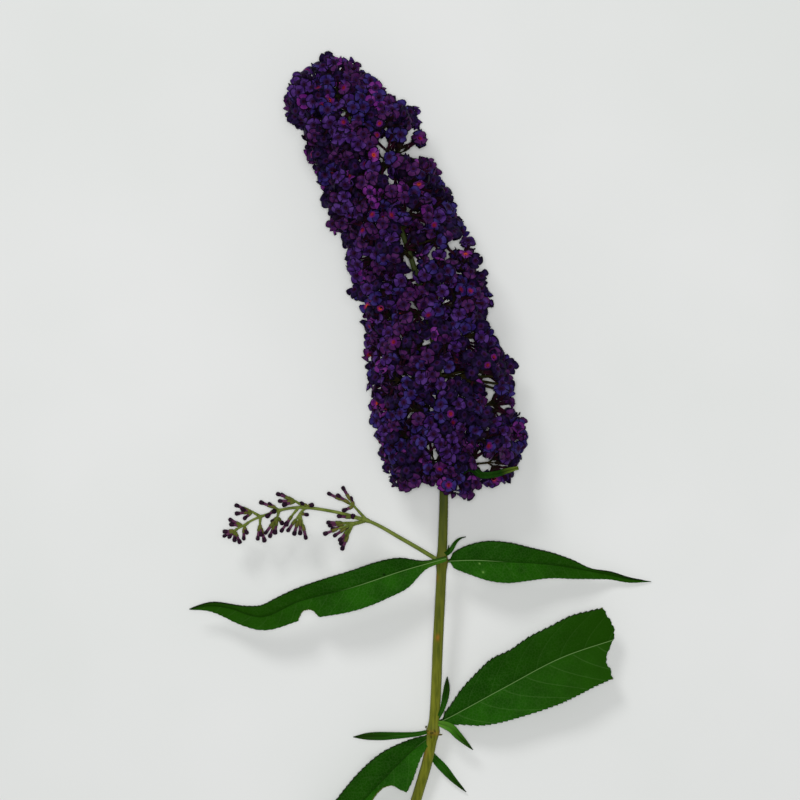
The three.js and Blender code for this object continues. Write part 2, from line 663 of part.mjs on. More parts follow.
const spray = new THREE.Group();
function place(name, geometry, material) {
  const mesh = new THREE.Mesh(geometry, material);
  mesh.name = name;
  spray.add(mesh);
}

place("main_stem", mainStem(), bark);
place("side_stalk", sideStalk(), bark);
for (const leaf of LEAVES) place(leaf.name, leafBlade(leaf), leafGreen);
BUD_CLUSTERS.forEach((spec, i) => place(spec.name, budCluster(spec, i + 1), budViolet));
const inTheWay = spray.children.map((mesh) => mesh.geometry);
for (const { name, geometry } of spikeClusters(inTheWay)) place(name, geometry, flowerViolet);

export default spray;
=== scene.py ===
# %% [markdown]
# # A cut spray of butterfly bush
# One green stem lies on a level sheet. A dense flower spike ends it, a side spike is still in bud, and two
# pairs of leaves and a few small shoot leaves stand at its two nodes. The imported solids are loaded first:
# they say how large each piece is and where it goes. Every piece below is grown on the same lines as those
# solids.

# %% The frame
import math

import bpy
import numpy as np
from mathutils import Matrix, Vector


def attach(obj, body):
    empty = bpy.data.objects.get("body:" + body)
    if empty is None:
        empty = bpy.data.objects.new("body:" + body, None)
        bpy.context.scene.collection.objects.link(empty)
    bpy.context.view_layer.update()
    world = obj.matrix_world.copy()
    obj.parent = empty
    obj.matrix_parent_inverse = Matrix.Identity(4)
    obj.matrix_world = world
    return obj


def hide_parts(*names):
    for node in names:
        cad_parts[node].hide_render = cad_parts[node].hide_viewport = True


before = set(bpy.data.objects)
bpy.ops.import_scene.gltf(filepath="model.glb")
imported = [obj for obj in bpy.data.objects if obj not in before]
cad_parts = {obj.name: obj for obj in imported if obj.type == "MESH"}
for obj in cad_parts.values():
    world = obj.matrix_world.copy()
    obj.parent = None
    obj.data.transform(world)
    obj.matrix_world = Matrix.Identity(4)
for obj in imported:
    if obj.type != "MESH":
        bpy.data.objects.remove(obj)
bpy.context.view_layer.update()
MM = 0.001
UP = np.array([0.0, 0.0, 1.0])

# %% [markdown]
# ## Camera and light
# The spray is looked at from straight above, from a little over a metre, so the camera hangs over it with
# its top edge towards +Y. Three round lamps light it. A small one beside the camera gives most of the
# light, and a wide one overhead softens it. The third stands beyond the tip of the spike and gives the
# leaves a light and a dark half, and their short blurred shadows. The pale room fills in the rest. A
# picture of a studio wrapped round the scene could do the same, but lamps are easier to aim one by one.

# %% Camera, lamp and room
CAMERA_OVER = (-7.6, 34.4)  # mm
CAMERA_HEIGHT = 1100.0  # mm above the sheet
SEEN_WIDTH = 320.0  # mm that the picture spans, at SEEN_AT above the sheet
SEEN_AT = 20.0
SENSOR = 36.0
LAMPS = [
    # name, where it hangs in metres, how wide it is and its power in watts
    ("slanting_lamp", (-0.9, 1.7, 2.0), 0.8, 18.5),
    ("overhead_lamp", (0.09, 0.11, 2.4), 0.9, 8.0),
    ("lamp_by_the_camera", (-0.0076, 0.0344, 1.14), 0.10, 5.3),
]
ROOM_LIGHT = 0.25
ROOM_COLOUR = (0.985, 1.0, 0.995, 1.0)

camera_data = bpy.data.cameras.new("camera")
camera_data.sensor_width = SENSOR
camera_data.lens = SENSOR * (CAMERA_HEIGHT - SEEN_AT) / SEEN_WIDTH
camera = bpy.data.objects.new("camera", camera_data)
camera.location = (CAMERA_OVER[0] * MM, CAMERA_OVER[1] * MM, CAMERA_HEIGHT * MM)
bpy.context.scene.collection.objects.link(camera)
bpy.context.scene.camera = camera
bpy.context.scene.view_settings.view_transform = "Standard"

for name, place, size, power in LAMPS:
    lamp_data = bpy.data.lights.new(name, "AREA")
    lamp_data.shape = "DISK"
    lamp_data.size = size
    lamp_data.energy = power
    lamp = bpy.data.objects.new(name, lamp_data)
    lamp.location = place
    lamp.rotation_euler = (-Vector(place)).to_track_quat("-Z", "Y").to_euler()
    bpy.context.scene.collection.objects.link(lamp)

room = bpy.data.worlds.new("pale_room")
room.use_nodes = True
background = room.node_tree.nodes["Background"]
background.inputs["Color"].default_value = ROOM_COLOUR
background.inputs["Strength"].default_value = ROOM_LIGHT
bpy.context.scene.world = room
print("lens", round(camera_data.lens, 1), "mm")

# %% [markdown]
# ## How materials are made here
# Colours are written as the sRGB hex values that an eye would name, and one function turns them to the
# linear numbers that light is worked out in. Another adds a node, with its settings and what is linked into
# it. Every finish of the plant is one idea: two colours that wander into each other, others laid thinly
# over them in certain places, and a fine relief. The places are values kept at the mesh's corners by the
# same rule that shapes it, so what is coloured is what is modelled, and each material below is a short
# list.

# %% Colour and node helpers
NOISE_VALUES = (0.35, 0.65)  # between these lies nearly all of a noise


def linear(hex_colour):
    """An sRGB hex colour as linear red, green, blue and alpha."""
    parts = [int(hex_colour[i : i + 2], 16) / 255 for i in (1, 3, 5)]
    return (*[c / 12.92 if c <= 0.04045 else ((c + 0.055) / 1.055) ** 2.4 for c in parts], 1.0)


def add_node(material, kind, settings=None, links=None):
    """Adds one node to a material. settings are its own properties or its inputs' values, links the outputs
    that go into its inputs. An input with a name that several share goes by its number."""
    node = material.node_tree.nodes.new("ShaderNode" + kind)
    for name, value in (settings or {}).items():
        if isinstance(name, int) or name in node.inputs:
            node.inputs[name].default_value = value
        else:
            setattr(node, name, value)
    for name, output in (links or {}).items():
        material.node_tree.links.new(output, node.inputs[name])
    return node


def new_material(name, roughness, specular, sheen=0.0):
    """A material with its Principled shader's even values set."""
    material = bpy.data.materials.new(name)
    material.use_nodes = True
    shader = material.node_tree.nodes["Principled BSDF"]
    shader.inputs["Roughness"].default_value = roughness
    shader.inputs["Specular IOR Level"].default_value = specular
    shader.inputs["Sheen Weight"].default_value = sheen
    return material


# %% Wandering colours and layers over them
def mottled(material, colours, size, place=None, detail=3.0):
    """A colour that wanders between two, in patches of about this size, and the pattern that it follows."""
    place = place or add_node(material, "TexCoord").outputs["Object"]
    pattern = {"Scale": 1 / size, "Detail": detail}
    noise = add_node(material, "TexNoise", pattern, {"Vector": place}).outputs["Fac"]
    limits = {"From Min": NOISE_VALUES[0], "From Max": NOISE_VALUES[1]}
    spread = add_node(material, "MapRange", limits, {"Value": noise})
    ends = {"data_type": "RGBA", 6: linear(colours[0]), 7: linear(colours[1])}
    return add_node(material, "Mix", ends, {"Factor": spread.outputs["Result"]}).outputs[2], noise


def layered(material, colour, layers):
    """Lays other colours over one. A layer is its colour; the name of a value kept at the corners, or a
    node's output; the values where the colour starts and where it is strongest; how strong that is; and the
    name of another kept value, where the layer also depends on that."""
    for hex_colour, source, start, full, strength, *others in layers:
        shares = [source, *others]
        for number, name in enumerate(shares):
            if isinstance(name, str):
                shares[number] = add_node(material, "Attribute", {"attribute_name": name}).outputs["Fac"]
        limits = {"From Min": start, "From Max": full, "To Max": strength}
        share = add_node(material, "MapRange", limits, {"Value": shares[0]}).outputs["Result"]
        for other in shares[1:]:
            product = add_node(material, "Math", {"operation": "MULTIPLY"}, {0: share, 1: other})
            share = product.outputs["Value"]
        ends = {"data_type": "RGBA", 7: linear(hex_colour)}
        colour = add_node(material, "Mix", ends, {"Factor": share, 6: colour}).outputs[2]
    return colour


def dress(material, colour, height=None, distance=0.0, strength=1.0):
    """Gives a material its colour, and a relief as deep as distance where it has a pattern for one."""
    shader = material.node_tree.nodes["Principled BSDF"]
    material.node_tree.links.new(colour, shader.inputs["Base Color"])
    if height is not None:
        bump = add_node(material, "Bump", {"Strength": strength, "Distance": distance}, {"Height": height})
        material.node_tree.links.new(bump.outputs["Normal"], shader.inputs["Normal"])
    return material


# %% [markdown]
# ## The sheet under the spray
# The spray lies on white paper. A plane does for it, as long as its edges stay out of sight.

# %% Paper sheet
SHEET_SIZE = 8.0  # metres


def matt_paper():
    """Matt white paper: nearly even, which leaves the soft shadows to be seen."""
    material = new_material("matt_paper", roughness=0.9, specular=0.2)
    return dress(material, mottled(material, ("#E4E6E4", "#E8E9E8"), size=120 * MM)[0])


bpy.ops.object.select_all(action="DESELECT")
bpy.ops.mesh.primitive_plane_add(size=SHEET_SIZE)
sheet = bpy.context.object
sheet.name = "paper_sheet"
sheet.data.materials.append(matt_paper())
print("sheet", SHEET_SIZE, "m wide")

# %% [markdown]
# ## Lines that things grow along
# A stem, a leaf's midrib and a stalk are all smooth lines through a few stations. The line is worked out
# once as many close points with the length up to each, so that any place on it can be looked up by its
# length.

# %% Smooth lines
LINE_STEPS = 60  # points between two stations
STEEP = 0.9  # the upright part of a direction that counts as upright


def smooth(stations):
    """Close values on the smooth curve through evenly spaced ones, single numbers or points."""
    p = np.array(stations, float)
    p = np.concatenate([[2 * p[0] - p[1]], p, [2 * p[-1] - p[-2]]])
    t = np.linspace(0, 1, LINE_STEPS, endpoint=False)
    t = t.reshape(-1, *[1] * (p.ndim - 1))
    pieces = []
    for a, b, c, d in zip(p, p[1:], p[2:], p[3:]):
        ease_in, ease_out = (c - a) / 2, (d - b) / 2
        bend = -3 * b + 3 * c - 2 * ease_in - ease_out
        turn = 2 * b - 2 * c + ease_in + ease_out
        pieces.append(b + ease_in * t + bend * t**2 + turn * t**3)
    return np.concatenate([*pieces, p[-2:-1]])


def unit(vectors):
    """Vectors at length one."""
    return vectors / np.maximum(np.linalg.norm(vectors, axis=-1, keepdims=True), 1e-12)


class Line:
    """A smooth line through stations given in millimetres."""

    def __init__(self, stations):
        self.points = smooth(stations) * MM
        steps = np.linalg.norm(np.diff(self.points, axis=0), axis=1)
        self.lengths = np.concatenate([[0], np.cumsum(steps)])
        self.length = self.lengths[-1]
        self.directions = unit(np.gradient(self.points, axis=0))

    def at(self, length):
        """The points at these lengths along the line."""
        return np.stack([np.interp(length, self.lengths, self.points[:, k]) for k in range(3)], -1)

    def along(self, length):
        """The line's directions there."""
        return unit(np.stack([np.interp(length, self.lengths, self.directions[:, k]) for k in range(3)], -1))

    def station(self, number):
        """The length up to one of the stations."""
        return self.lengths[number * LINE_STEPS]

    def value(self, values, length):
        """Values given at the stations, at these lengths."""
        number = np.interp(length, self.lengths, np.arange(len(self.lengths))) / LINE_STEPS
        return np.interp(number, np.arange(len(values)), values)


def square_to(directions):
    """Two unit vectors square to each direction and to each other: a level one, and one across both."""
    steep = np.abs(directions[..., 2:]) > STEEP
    level = unit(np.cross(np.where(steep, np.array([0.0, 1.0, 0.0]), UP), directions))
    return level, np.cross(directions, level)


# %% [markdown]
# ## A sheet laid where a rule says
# Stems and leaves are one idea: a flat grid whose corners are laid in space. By hand one would pull rows of
# the grid about; here a rule gives each corner's place from its two shares, along and across, which keeps
# the real numbers of the plant in view. A stem is the grid rolled up, with its seam merged and its ends
# filled.

# %% Laid grids and finished pieces
def laid_grid(name, along, across, rule):
    """A grid primitive of so many faces, each corner at rule(u, v), with u and v from 0 to 1."""
    bpy.ops.object.select_all(action="DESELECT")
    bpy.ops.mesh.primitive_grid_add(x_subdivisions=across, y_subdivisions=along, size=1)
    grid = bpy.context.object
    grid.name = name
    corners = np.empty(len(grid.data.vertices) * 3)
    grid.data.vertices.foreach_get("co", corners)
    v, u = corners.reshape(-1, 3)[:, 0] + 0.5, corners.reshape(-1, 3)[:, 1] + 0.5
    places, marks = rule(u, v)
    grid.data.vertices.foreach_set("co", places.ravel())
    for mark, values in marks.items():
        grid.data.attributes.new(mark, "FLOAT", "POINT").data.foreach_set("value", values)
    return grid


def hand_over(piece, slot, nodes, *materials):
    """Gives a finished piece its materials, smooth faces and its body, and hides the solids it stands for.
    The slot is not used."""
    piece.data.materials.clear()
    for material in materials:
        piece.data.materials.append(material)
    piece.data.polygons.foreach_set("use_smooth", [True] * len(piece.data.polygons))
    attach(piece, "root")
    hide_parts(*nodes)
    print(piece.name, len(piece.data.polygons), "faces")


# %% [markdown]
# ## The main stem
# A young shoot of this bush is green and four-angled, not yet woody. It tapers from a flat cut to the tip
# of the spike, swells at each pair of leaves, and a thin raised line joins the two leaf bases round it.
# Its skin is finely ribbed along its length. All of that is real relief in the mesh, and the ribs are
# only a few hundredths of a millimetre deep.

# %% Stem sizes
STEM = [
    # x, y, z and thickness in mm, from the cut end to the tip of the spike
    (-10.4, -154.4, 2.5, 4.6),
    (-0.4, -125.6, 4.6, 4.4),
    (5.7, -99.6, 8.5, 4.4),
    (7.75, -61.6, 13.0, 4.4),
    (9.2, -30.4, 16.6, 4.15),
    (9.95, -1.6, 19.2, 3.65),
    (9.4, 26.0, 20.2, 3.0),
    (6.4, 54.4, 20.4, 2.7),
    (-1.8, 86.8, 20.4, 2.3),
    (-15.4, 123.6, 20.4, 1.8),
    (-27.4, 146.4, 20.8, 1.3),
    (-33.0, 156.4, 21.0, 0.9),
]
LOWER_NODE, UPPER_NODE, SPIKE_FOOT = 2, 4, 5  # which station each is
NODE_SWELL = 0.26  # share by which the stem thickens at a node
NODE_SPAN = 2.8 * MM

stem = Line([s[:3] for s in STEM])
STEM_NODES = [stem.station(LOWER_NODE), stem.station(UPPER_NODE)]
FOOT = stem.station(SPIKE_FOOT)


def stem_radius(length):
    """The stem's radius, thicker at its nodes."""
    swell = sum(np.exp(-(((length - node) / NODE_SPAN) ** 2)) for node in STEM_NODES)
    return stem.value([s[3] for s in STEM], length) / 2 * MM * (1 + NODE_SWELL * swell)


print("stem", round(stem.length / MM, 1), "mm long, the spike starts at", round(FOOT / MM, 1))

# %% Its relief
ANGLE_DEPTH = 0.075  # how far the four angles stand out, as a share of the radius
RIBS = 28  # fine ribs round it
RIB_DEPTH = 0.030 * MM  # where the stem is RIBBED_RADIUS thick, and less where it is thinner
RIBBED_RADIUS = 2.0 * MM
WAVER = ((1.5, 9.0 * MM, 0), (1.0, 3.7 * MM, 2))  # two waves of the ribs: radians aside, length, turns round
SEAM_HEIGHT = 0.28 * MM  # the raised line between two leaf bases
SEAM_SPAN = 0.42 * MM
SEAM_BOW = 0.5 * MM  # how far it climbs and falls on its way round
END_INSET = 0.15 * MM  # of the ring that holds an end's flat face
STEM_GRID = (520, 56)  # faces along and round it
SEAM_GAP = 0.001 * MM  # corners no further apart than this are merged


def rolled(line, radius, relief, marks=lambda length, angle: {}):
    """The rule of a grid rolled up round a line: radius(length), and relief(length, angle) added to it.
    marks gives the values that its finish reads there."""

    def rule(u, v):
        length, angle = u * line.length, v * 2 * math.pi
        level, across = square_to(line.along(length))
        reach = (radius(length) + relief(length, angle))[:, None]
        spoke = level * np.cos(angle)[:, None] + across * np.sin(angle)[:, None]
        return line.at(length) + spoke * reach, marks(length, angle)

    return rule


def close_roll(roll):
    """Merges the seam of a rolled grid, fills its two ends and lets its faces look outwards."""
    bpy.context.view_layer.objects.active = roll
    bpy.ops.object.mode_set(mode="EDIT")
    bpy.ops.mesh.select_all(action="SELECT")
    bpy.ops.mesh.remove_doubles(threshold=SEAM_GAP)
    bpy.ops.mesh.select_all(action="DESELECT")
    other_kinds = dict.fromkeys(["use_wire", "use_multi_face", "use_non_contiguous", "use_verts"], False)
    bpy.ops.mesh.select_non_manifold(extend=False, **other_kinds)
    bpy.ops.mesh.edge_face_add()
    bpy.ops.mesh.inset(thickness=END_INSET)
    bpy.ops.mesh.select_all(action="SELECT")
    bpy.ops.mesh.normals_make_consistent(inside=False)
    bpy.ops.object.mode_set(mode="OBJECT")


def stem_relief(length, angle):
    """Four angles, fine ribs that waver, and the seam round each node."""
    radius = stem_radius(length)
    corners = radius * ANGLE_DEPTH * -np.cos(4 * angle)
    waver = sum(aside * np.sin(length / wave + turns * angle) for aside, wave, turns in WAVER)
    ribs = RIB_DEPTH * np.sin(RIBS * angle + waver) * (radius / RIBBED_RADIUS)
    from_seams = [length - node - SEAM_BOW * np.cos(2 * angle) for node in STEM_NODES]
    return corners + ribs + SEAM_HEIGHT * sum(np.exp(-((away / SEAM_SPAN) ** 2)) for away in from_seams)


# %% Its marks and skin
RUST_SPOTS = [
    # mm from the cut end, degrees round the stem, half length and half width in mm, and strength
    (96.7, 84, 1.2, 0.8, 0.75),
    (121.0, 30, 1.6, 1.0, 0.45),
    (48.5, 40, 2.4, 0.9, 0.4),
]
NODE_RUST = (0.35, 0.06)  # how brown the seam is at the lower and the upper node
NODE_RUST_SPAN = 0.9 * MM
SHADE_FROM = 70  # mm from the cut end, where the spike's shade starts
SHADE_SPAN = 110  # mm over which it deepens


def stem_marks(length, angle):
    """Where the skin is rusty, how far into the spike's shade it is, and where it stands out as an
    angle."""
    from_nodes = [(length - node) / NODE_RUST_SPAN for node in STEM_NODES]
    brown = sum(rust * np.exp(-(away**2)) for rust, away in zip(NODE_RUST, from_nodes))
    for along, degrees, half_length, half_width, strength in RUST_SPOTS:
        turned = np.angle(np.exp(1j * (angle - math.radians(degrees)))) * stem_radius(length)
        apart = ((length - along * MM) / (half_length * MM)) ** 2 + (turned / (half_width * MM)) ** 2
        brown = brown + strength * np.exp(-apart)
    shaded = np.clip((length / MM - SHADE_FROM) / SHADE_SPAN, 0, 1)
    return {"rust": np.clip(brown, 0, 1), "shaded": shaded, "angle": -np.cos(4 * angle)}


def young_shoot():
    """The skin of a young green shoot: olive, paler along its angles, rusty in a few spots, with a dull
    shine. Its fibres are finer than they are drawn here, at 1.1 mm across, and run up the stem, so nearly
    along Y."""
    material = new_material("young_shoot_skin", roughness=0.55, specular=0.1, sheen=0.02)
    place = add_node(material, "TexCoord").outputs["Object"]
    drawn_out_along_y = add_node(material, "Mapping", {"Scale": (1.0, 0.06, 1.0)}, {"Vector": place})
    base, noise = mottled(material, ("#72761A", "#4E5608"), 1.1 * MM, drawn_out_along_y.outputs["Vector"])
    layers = [
        ("#787E30", "angle", -0.1, 1, 0.5),
        ("#2E3A0C", "shaded", 0, 1, 1),
        ("#9A5E1C", "rust", 0, 1, 1),
    ]
    return dress(material, layered(material, base, layers), noise, 0.08 * MM, 0.6)


main_stem = laid_grid("main_stem_skin", *STEM_GRID, rolled(stem, stem_radius, stem_relief, stem_marks))
close_roll(main_stem)
hand_over(main_stem, "stem", ["main_stem"], young_shoot())

# %% [markdown]
# ## The side stalk
# The stalk of the side spike is the same shoot, younger and thinner: round, pale and almost smooth. It is
# rolled up in the same way, with a rule of its own.

# %% Side stalk
SIDE_STALK = [
    (-7.0, -21.1, 19.0, 1.5),
    (-22.5, -13.2, 20.2, 1.3),
    (-46.6, -8.6, 19.2, 1.2),
    (-63.0, -12.2, 17.0, 1.0),
    (-73.0, -17.4, 15.6, 0.8),
]
side_root = stem.at(STEM_NODES[1] - 0.4 * MM) / MM
side = Line([side_root, *[s[:3] for s in SIDE_STALK]])
SIDE_THICKNESS = [1.7, *[s[3] for s in SIDE_STALK]]
CLUSTER_NODES = (0.388, 0.67, 0.79, 0.88)  # shares of its length where bud clusters stand
CLUSTER_SWELL, CLUSTER_SPAN = 0.4, 0.9 * MM  # how much thicker it is there, and over what length
SIDE_GRID = (200, 22)  # faces along and round it
SIDE_ANGLE_DEPTH, SIDE_RIB_DEPTH = 0.04, 0.02  # as shares of the radius
SIDE_RIBS, SIDE_WAVER = 11, 2 * MM  # how many ribs, and the length in which they lean by a radian


def side_radius(length):
    """Its radius, a little thicker where clusters of buds stand on it."""
    swell = sum(np.exp(-(((length - share * side.length) / CLUSTER_SPAN) ** 2)) for share in CLUSTER_NODES)
    return side.value(SIDE_THICKNESS, length) / 2 * MM * (1 + CLUSTER_SWELL * swell)


def side_relief(length, angle):
    """Four soft angles and a few shallow ribs."""
    ribs = SIDE_RIB_DEPTH * np.sin(SIDE_RIBS * angle + length / SIDE_WAVER)
    return side_radius(length) * (SIDE_ANGLE_DEPTH * np.cos(4 * angle) + ribs)


def downy_stalk():
    """The downy skin of a very young stalk: pale olive with a bloom of fine hairs, seen as a sheen."""
    material = new_material("downy_stalk_skin", roughness=0.65, specular=0.1, sheen=0.05)
    colour, noise = mottled(material, ("#727F38", "#5C6C26"), size=4 * MM)
    return dress(material, colour, noise, 0.05 * MM)


side_stalk = laid_grid("side_stalk_skin", *SIDE_GRID, rolled(side, side_radius, side_relief))
close_roll(side_stalk)
PALE_STALK = downy_stalk()
hand_over(side_stalk, "stem", ["side_stalk"], PALE_STALK)

# %% [markdown]
# ## Leaves
# Each leaf is a thin blade, folded a little along its midrib, with a fine-toothed edge. Veins leave the
# midrib every few millimetres, bend towards the tip and sink into the upper face, so the blade bulges
# between them. Two leaves have been bitten and one has lost its end, and those edges are part of the
# blade's outline. A flat outline with the veins painted on would be quicker, but side light shows at once
# that nothing bulges. So a blade is a laid grid given its thickness by a Solidify modifier, with the green
# of the upper face on one side and the pale felt of the underside on the other.

# %% Leaf sizes
# A leaf's midrib starts on the stem, "above" mm over one of its nodes, or at "start", and goes through the
# points given. "left" and "right" are its half widths in mm at even steps. Shares of its length say where a
# "bite" goes, with the share of the left half that is left over there, where it is "torn" off from its
# right edge to its left, and how far its pale foot and the pale line of its midrib go. "stalk" gives the mm
# over which it widens from its stalk, "fold" how steeply it rises from the midrib, "veins" the mm between
# veins, "teeth" their depth in mm, "painted_shade_half" the half, 1 for left and -1 for right, that is
# painted darker as shade because its fold turns it away from the light, and "marks" the x, y and radius in
# mm of small spots.
LEAVES = [
    {
        "name": "leaf_upper_left", "node": UPPER_NODE, "start": (10.9, -29.0, 20.0),
        "midrib": [(-6.2, -34.0, 17.8), (-27.0, -40.8, 18.8), (-47.6, -46.2, 17.4), (-62.8, -52.7, 14.8),
                   (-76.4, -49.4, 12.7), (-84.4, -48.6, 11.9), (-92.6, -49.9, 11.4)],
        "left": [0.9, 2.0, 6.9, 8.2, 8.8, 8.8, 8.2, 7.2, 5.9, 4.8, 4.4, 2.3, 0.05],
        "right": [0.9, 1.6, 5.4, 6.7, 6.7, 6.5, 5.8, 5.1, 5.1, 4.2, 1.9, 1.5, 0.05],
        "bite": [(0.510, 1.0), (0.522, 0.72), (0.534, 0.58), (0.550, 0.55), (0.566, 0.57), (0.584, 0.78),
                 (0.600, 1.0)],
        "pale_to": 0.42, "foot": 0.11, "fold": 0.22, "veins": 6.6, "painted_shade_half": -1,
        "marks": [(-14.0, -35.5, 0.5, "dark")],
    },
    {
        "name": "leaf_upper_right", "node": UPPER_NODE, "above": 0,
        "midrib": [(21.8, -29.9, 17.2), (33.6, -30.5, 16.4), (45.8, -31.2, 14.0), (57.8, -32.6, 10.8),
                   (75.8, -36.2, 4.8), (85.6, -38.5, 2.6), (94.8, -39.5, 1.0)],
        "left": [0.6, 5.4, 7.9, 7.8, 6.1, 4.8, 3.2, 1.2, 1.3, 0.6, 0.05],
        "right": [0.6, 4.7, 7.4, 8.2, 7.1, 5.5, 4.4, 3.0, 1.8, 1.3, 0.05],
        "stalk": (2.9, 4.6), "fold": 0.2, "veins": 6.2, "pale_to": 0.3, "painted_shade_half": 1,
        "marks": [(24.3, -31.2, 0.32, "pale"), (25.7, -34.6, 0.36, "pale")],
    },
    {
        "name": "leaf_lower_right", "node": LOWER_NODE, "above": 3.0,
        "midrib": [(13.0, -93.4, 10.6), (34.4, -81.6, 12.0), (57.2, -69.6, 12.2), (81.6, -61.4, 10.6)],
        "left": [0.6, 3.4, 7.6, 10.5, 12.8, 12.3, 13.2, 13.5, 14.6, 14.1, 13.4],
        "right": [0.6, 3.6, 8.3, 11.2, 13.2, 14.9, 15.9, 15.8, 15.0, 14.3, 13.6],
        "stalk": (3.6, 6.4),
        "torn": [0.900, 0.903, 0.893, 0.920, 0.961, 0.980, 0.978, 0.966, 0.955],
        "fold": 0.2, "veins": 10.5, "painted_shade_half": 1, "teeth": 0.5, "veins_show": 0.55,
    },
    {
        "name": "leaf_lower_left", "node": LOWER_NODE, "above": -1.5,
        "midrib": [(-4.0, -108.4, 10.2), (-17.0, -121.4, 11.4), (-33.4, -139.0, 9.0), (-49.6, -157.0, 4.0),
                   (-61.6, -170.0, 0.9)],
        "left": [0.6, 4.4, 8.8, 11.2, 12.0, 11.6, 10.0, 7.8, 5.2, 2.4, 0.05],
        "right": [0.6, 4.6, 8.0, 9.1, 8.7, 7.8, 7.0, 5.8, 4.2, 2.2, 0.05],
        "bite": [(0.244, 1.0), (0.257, 0.74), (0.260, 0.50), (0.272, 0.34), (0.298, 0.20), (0.330, 0.17),
                 (0.362, 0.20), (0.400, 0.34), (0.440, 0.65), (0.470, 1.0)],
        "pale_to": 0.1, "fold": 0.2, "veins": 8.5, "painted_shade_half": -1, "teeth": 0.35,
    },
]
LANCE = [0.35, 0.75, 1, 0.95, 0.7, 0.4, 0.02]  # half widths along a small leaf, as shares of its widest
CLUB = [0.35, 0.5, 0.65, 0.85, 1, 0.8, 0.02]
BLUNT = [0.4, 0.7, 0.95, 1, 0.95, 0.85, 0.45]
SPOON = [0.15, 0.75, 1, 0.98, 0.8, 0.45, 0.02]
SMALL_LEAVES = [
    # name, stem station, mm above it, widest half width, its widths, fold, share that is pale foot, midrib
    ("shoot_leaf_upper", UPPER_NODE, 1.6, 0.8, LANCE, 0.5, 0.1,
     [(12.3, -26.2, 20.0), (14.6, -22.5, 20.9), (16.6, -20.8, 20.9), (18.8, -20.2, 20.5)]),
    ("shoot_leaf_upper_second", UPPER_NODE, 2.6, 0.55, LANCE, 0.5, 0.1,
     [(11.5, -26.4, 20.2), (12.0, -23.6, 21.4)]),
    ("shoot_leaf_rising", LOWER_NODE, 2.5, 1.25, CLUB, 0.4, 0.45,
     [(9.3, -90.6, 12.2), (11.0, -82.6, 14.5), (11.3, -76.8, 16.2)]),
    ("shoot_leaf_hanging", LOWER_NODE, 4, 1.6, SPOON, 0.3, 0.5,
     [(12.4, -97.2, 14.2), (15.8, -100.6, 13.2), (22.0, -106.9, 9.6)]),
    ("shoot_leaf_left", LOWER_NODE, 0.6, 1.6, CLUB, 0.3, 0.3,
     [(-1.5, -100.2, 12.8), (-12.0, -100.7, 14.2), (-19.4, -100.9, 13.4), (-26.5, -101.4, 12.0)]),
    ("shoot_leaf_under", LOWER_NODE, -8, 1.65, LANCE, 0.3, 0.2,
     [(6.8, -111.4, 4.8), (10.9, -116.0, 3.9), (14.6, -120.2, 3.0), (19.4, -125.0, 2.2)]),
    ("bract_leaf", SPIKE_FOOT, 0, 1.25, BLUNT, 0.35, 0.5,
     [(19.0, 7.2, 28.0), (24.6, 4.8, 31.6), (30.0, 5.0, 32.0), (34.8, 6.4, 31.4), (39.4, 7.5, 29.6)]),
]
GRID_LARGE, GRID_SMALL = (260, 52), (48, 12)  # faces along and across a blade
print(len(LEAVES), "leaves and", len(SMALL_LEAVES), "small ones")

# %% Measures of a blade
BLADE_THICKNESS = 0.32 * MM
STALK_HALF = 0.6 * MM  # half width of a leaf's stalk
TOOTH_SPACING = 2.3 * MM
# what a leaf has where it says nothing else
USUAL = {"teeth": 0.22, "foot": 0.04, "pale_to": 1.1, "veins_show": 0.3, "painted_shade_half": 0, "marks": []}
VEIN_LEAN = 0.62  # mm along the leaf for each mm away from the midrib, at the midrib
VEIN_BEND = 0.055 / MM  # and how much more of it there is with each mm
VEIN_DEPTH = 0.10 * MM
VEIN_WIDTH = 0.10  # as a share of the way to the next
QUILT_HEIGHT = 0.10 * MM  # how far the face bulges between two veins
FLAT_BY_RIB, FLAT_BY_EDGE = 1.2 * MM, 1.6 * MM  # how far from each the bulges reach their height
RIB_GROOVE, RIB_HALF = 0.30 * MM, 0.55 * MM
EDGE_WAVE, WAVE_LENGTH = 0.7 * MM, 6.1 * MM
BITE_RAGS = 0.02  # how ragged a bite's edge is, as a share of the width
BITE_WAVES = (900, 391)  # radians of its two waves over the whole length
TEAR_RAGS = 0.003  # how ragged a torn end is, as a share of the length
TEAR_WAVES = ((1.0, 23), (0.6, 51))  # strength of its two waves, and radians from the midrib to the edge
BROWN_END = 0.985  # share of the length from which a torn leaf's end is brown
SIDES_APART = 1.9  # radians that one edge's wave runs ahead, and the other's behind
PALE_FADE = 0.12  # share of the length over which the pale line of the midrib ends
PALEST = 1.4  # above 1, so that a foot is evenly pale before it darkens
MARGIN_TURN = 1.6  # above 1, so that an edge needn't face straight along Y to be fully shaded
PAINTED_SHADE_FROM = 0.4 * MM  # from the midrib, where the painted shade of the darker half reaches its full strength
VEINS_IN_PAINTED_SHADE = 0.4  # how much of its veins shows through the painted shade of the darker half


# %% Bites, tears and bulges
def seat_on_stem(node, above):
    """A point inside the stem that a leaf's midrib starts from."""
    return stem.at(stem.station(node) + above * MM) / MM


def bitten(leaf, side_of, u):
    """The share of the width that a bite in the left half leaves, and where that bite is."""
    if "bite" not in leaf:
        return np.ones_like(u), np.zeros_like(u)
    shares, depths = zip(*leaf["bite"])
    left_over = np.interp(u, shares, depths)
    fine, coarse = (np.sin(u * wave) for wave in BITE_WAVES)
    left_over = left_over * (1 + BITE_RAGS * (fine + coarse * (left_over < 0.98)))
    inside = (u > shares[0]) & (u < shares[-1]) & (side_of == 1)
    return np.where(inside, left_over, 1), inside.astype(float)


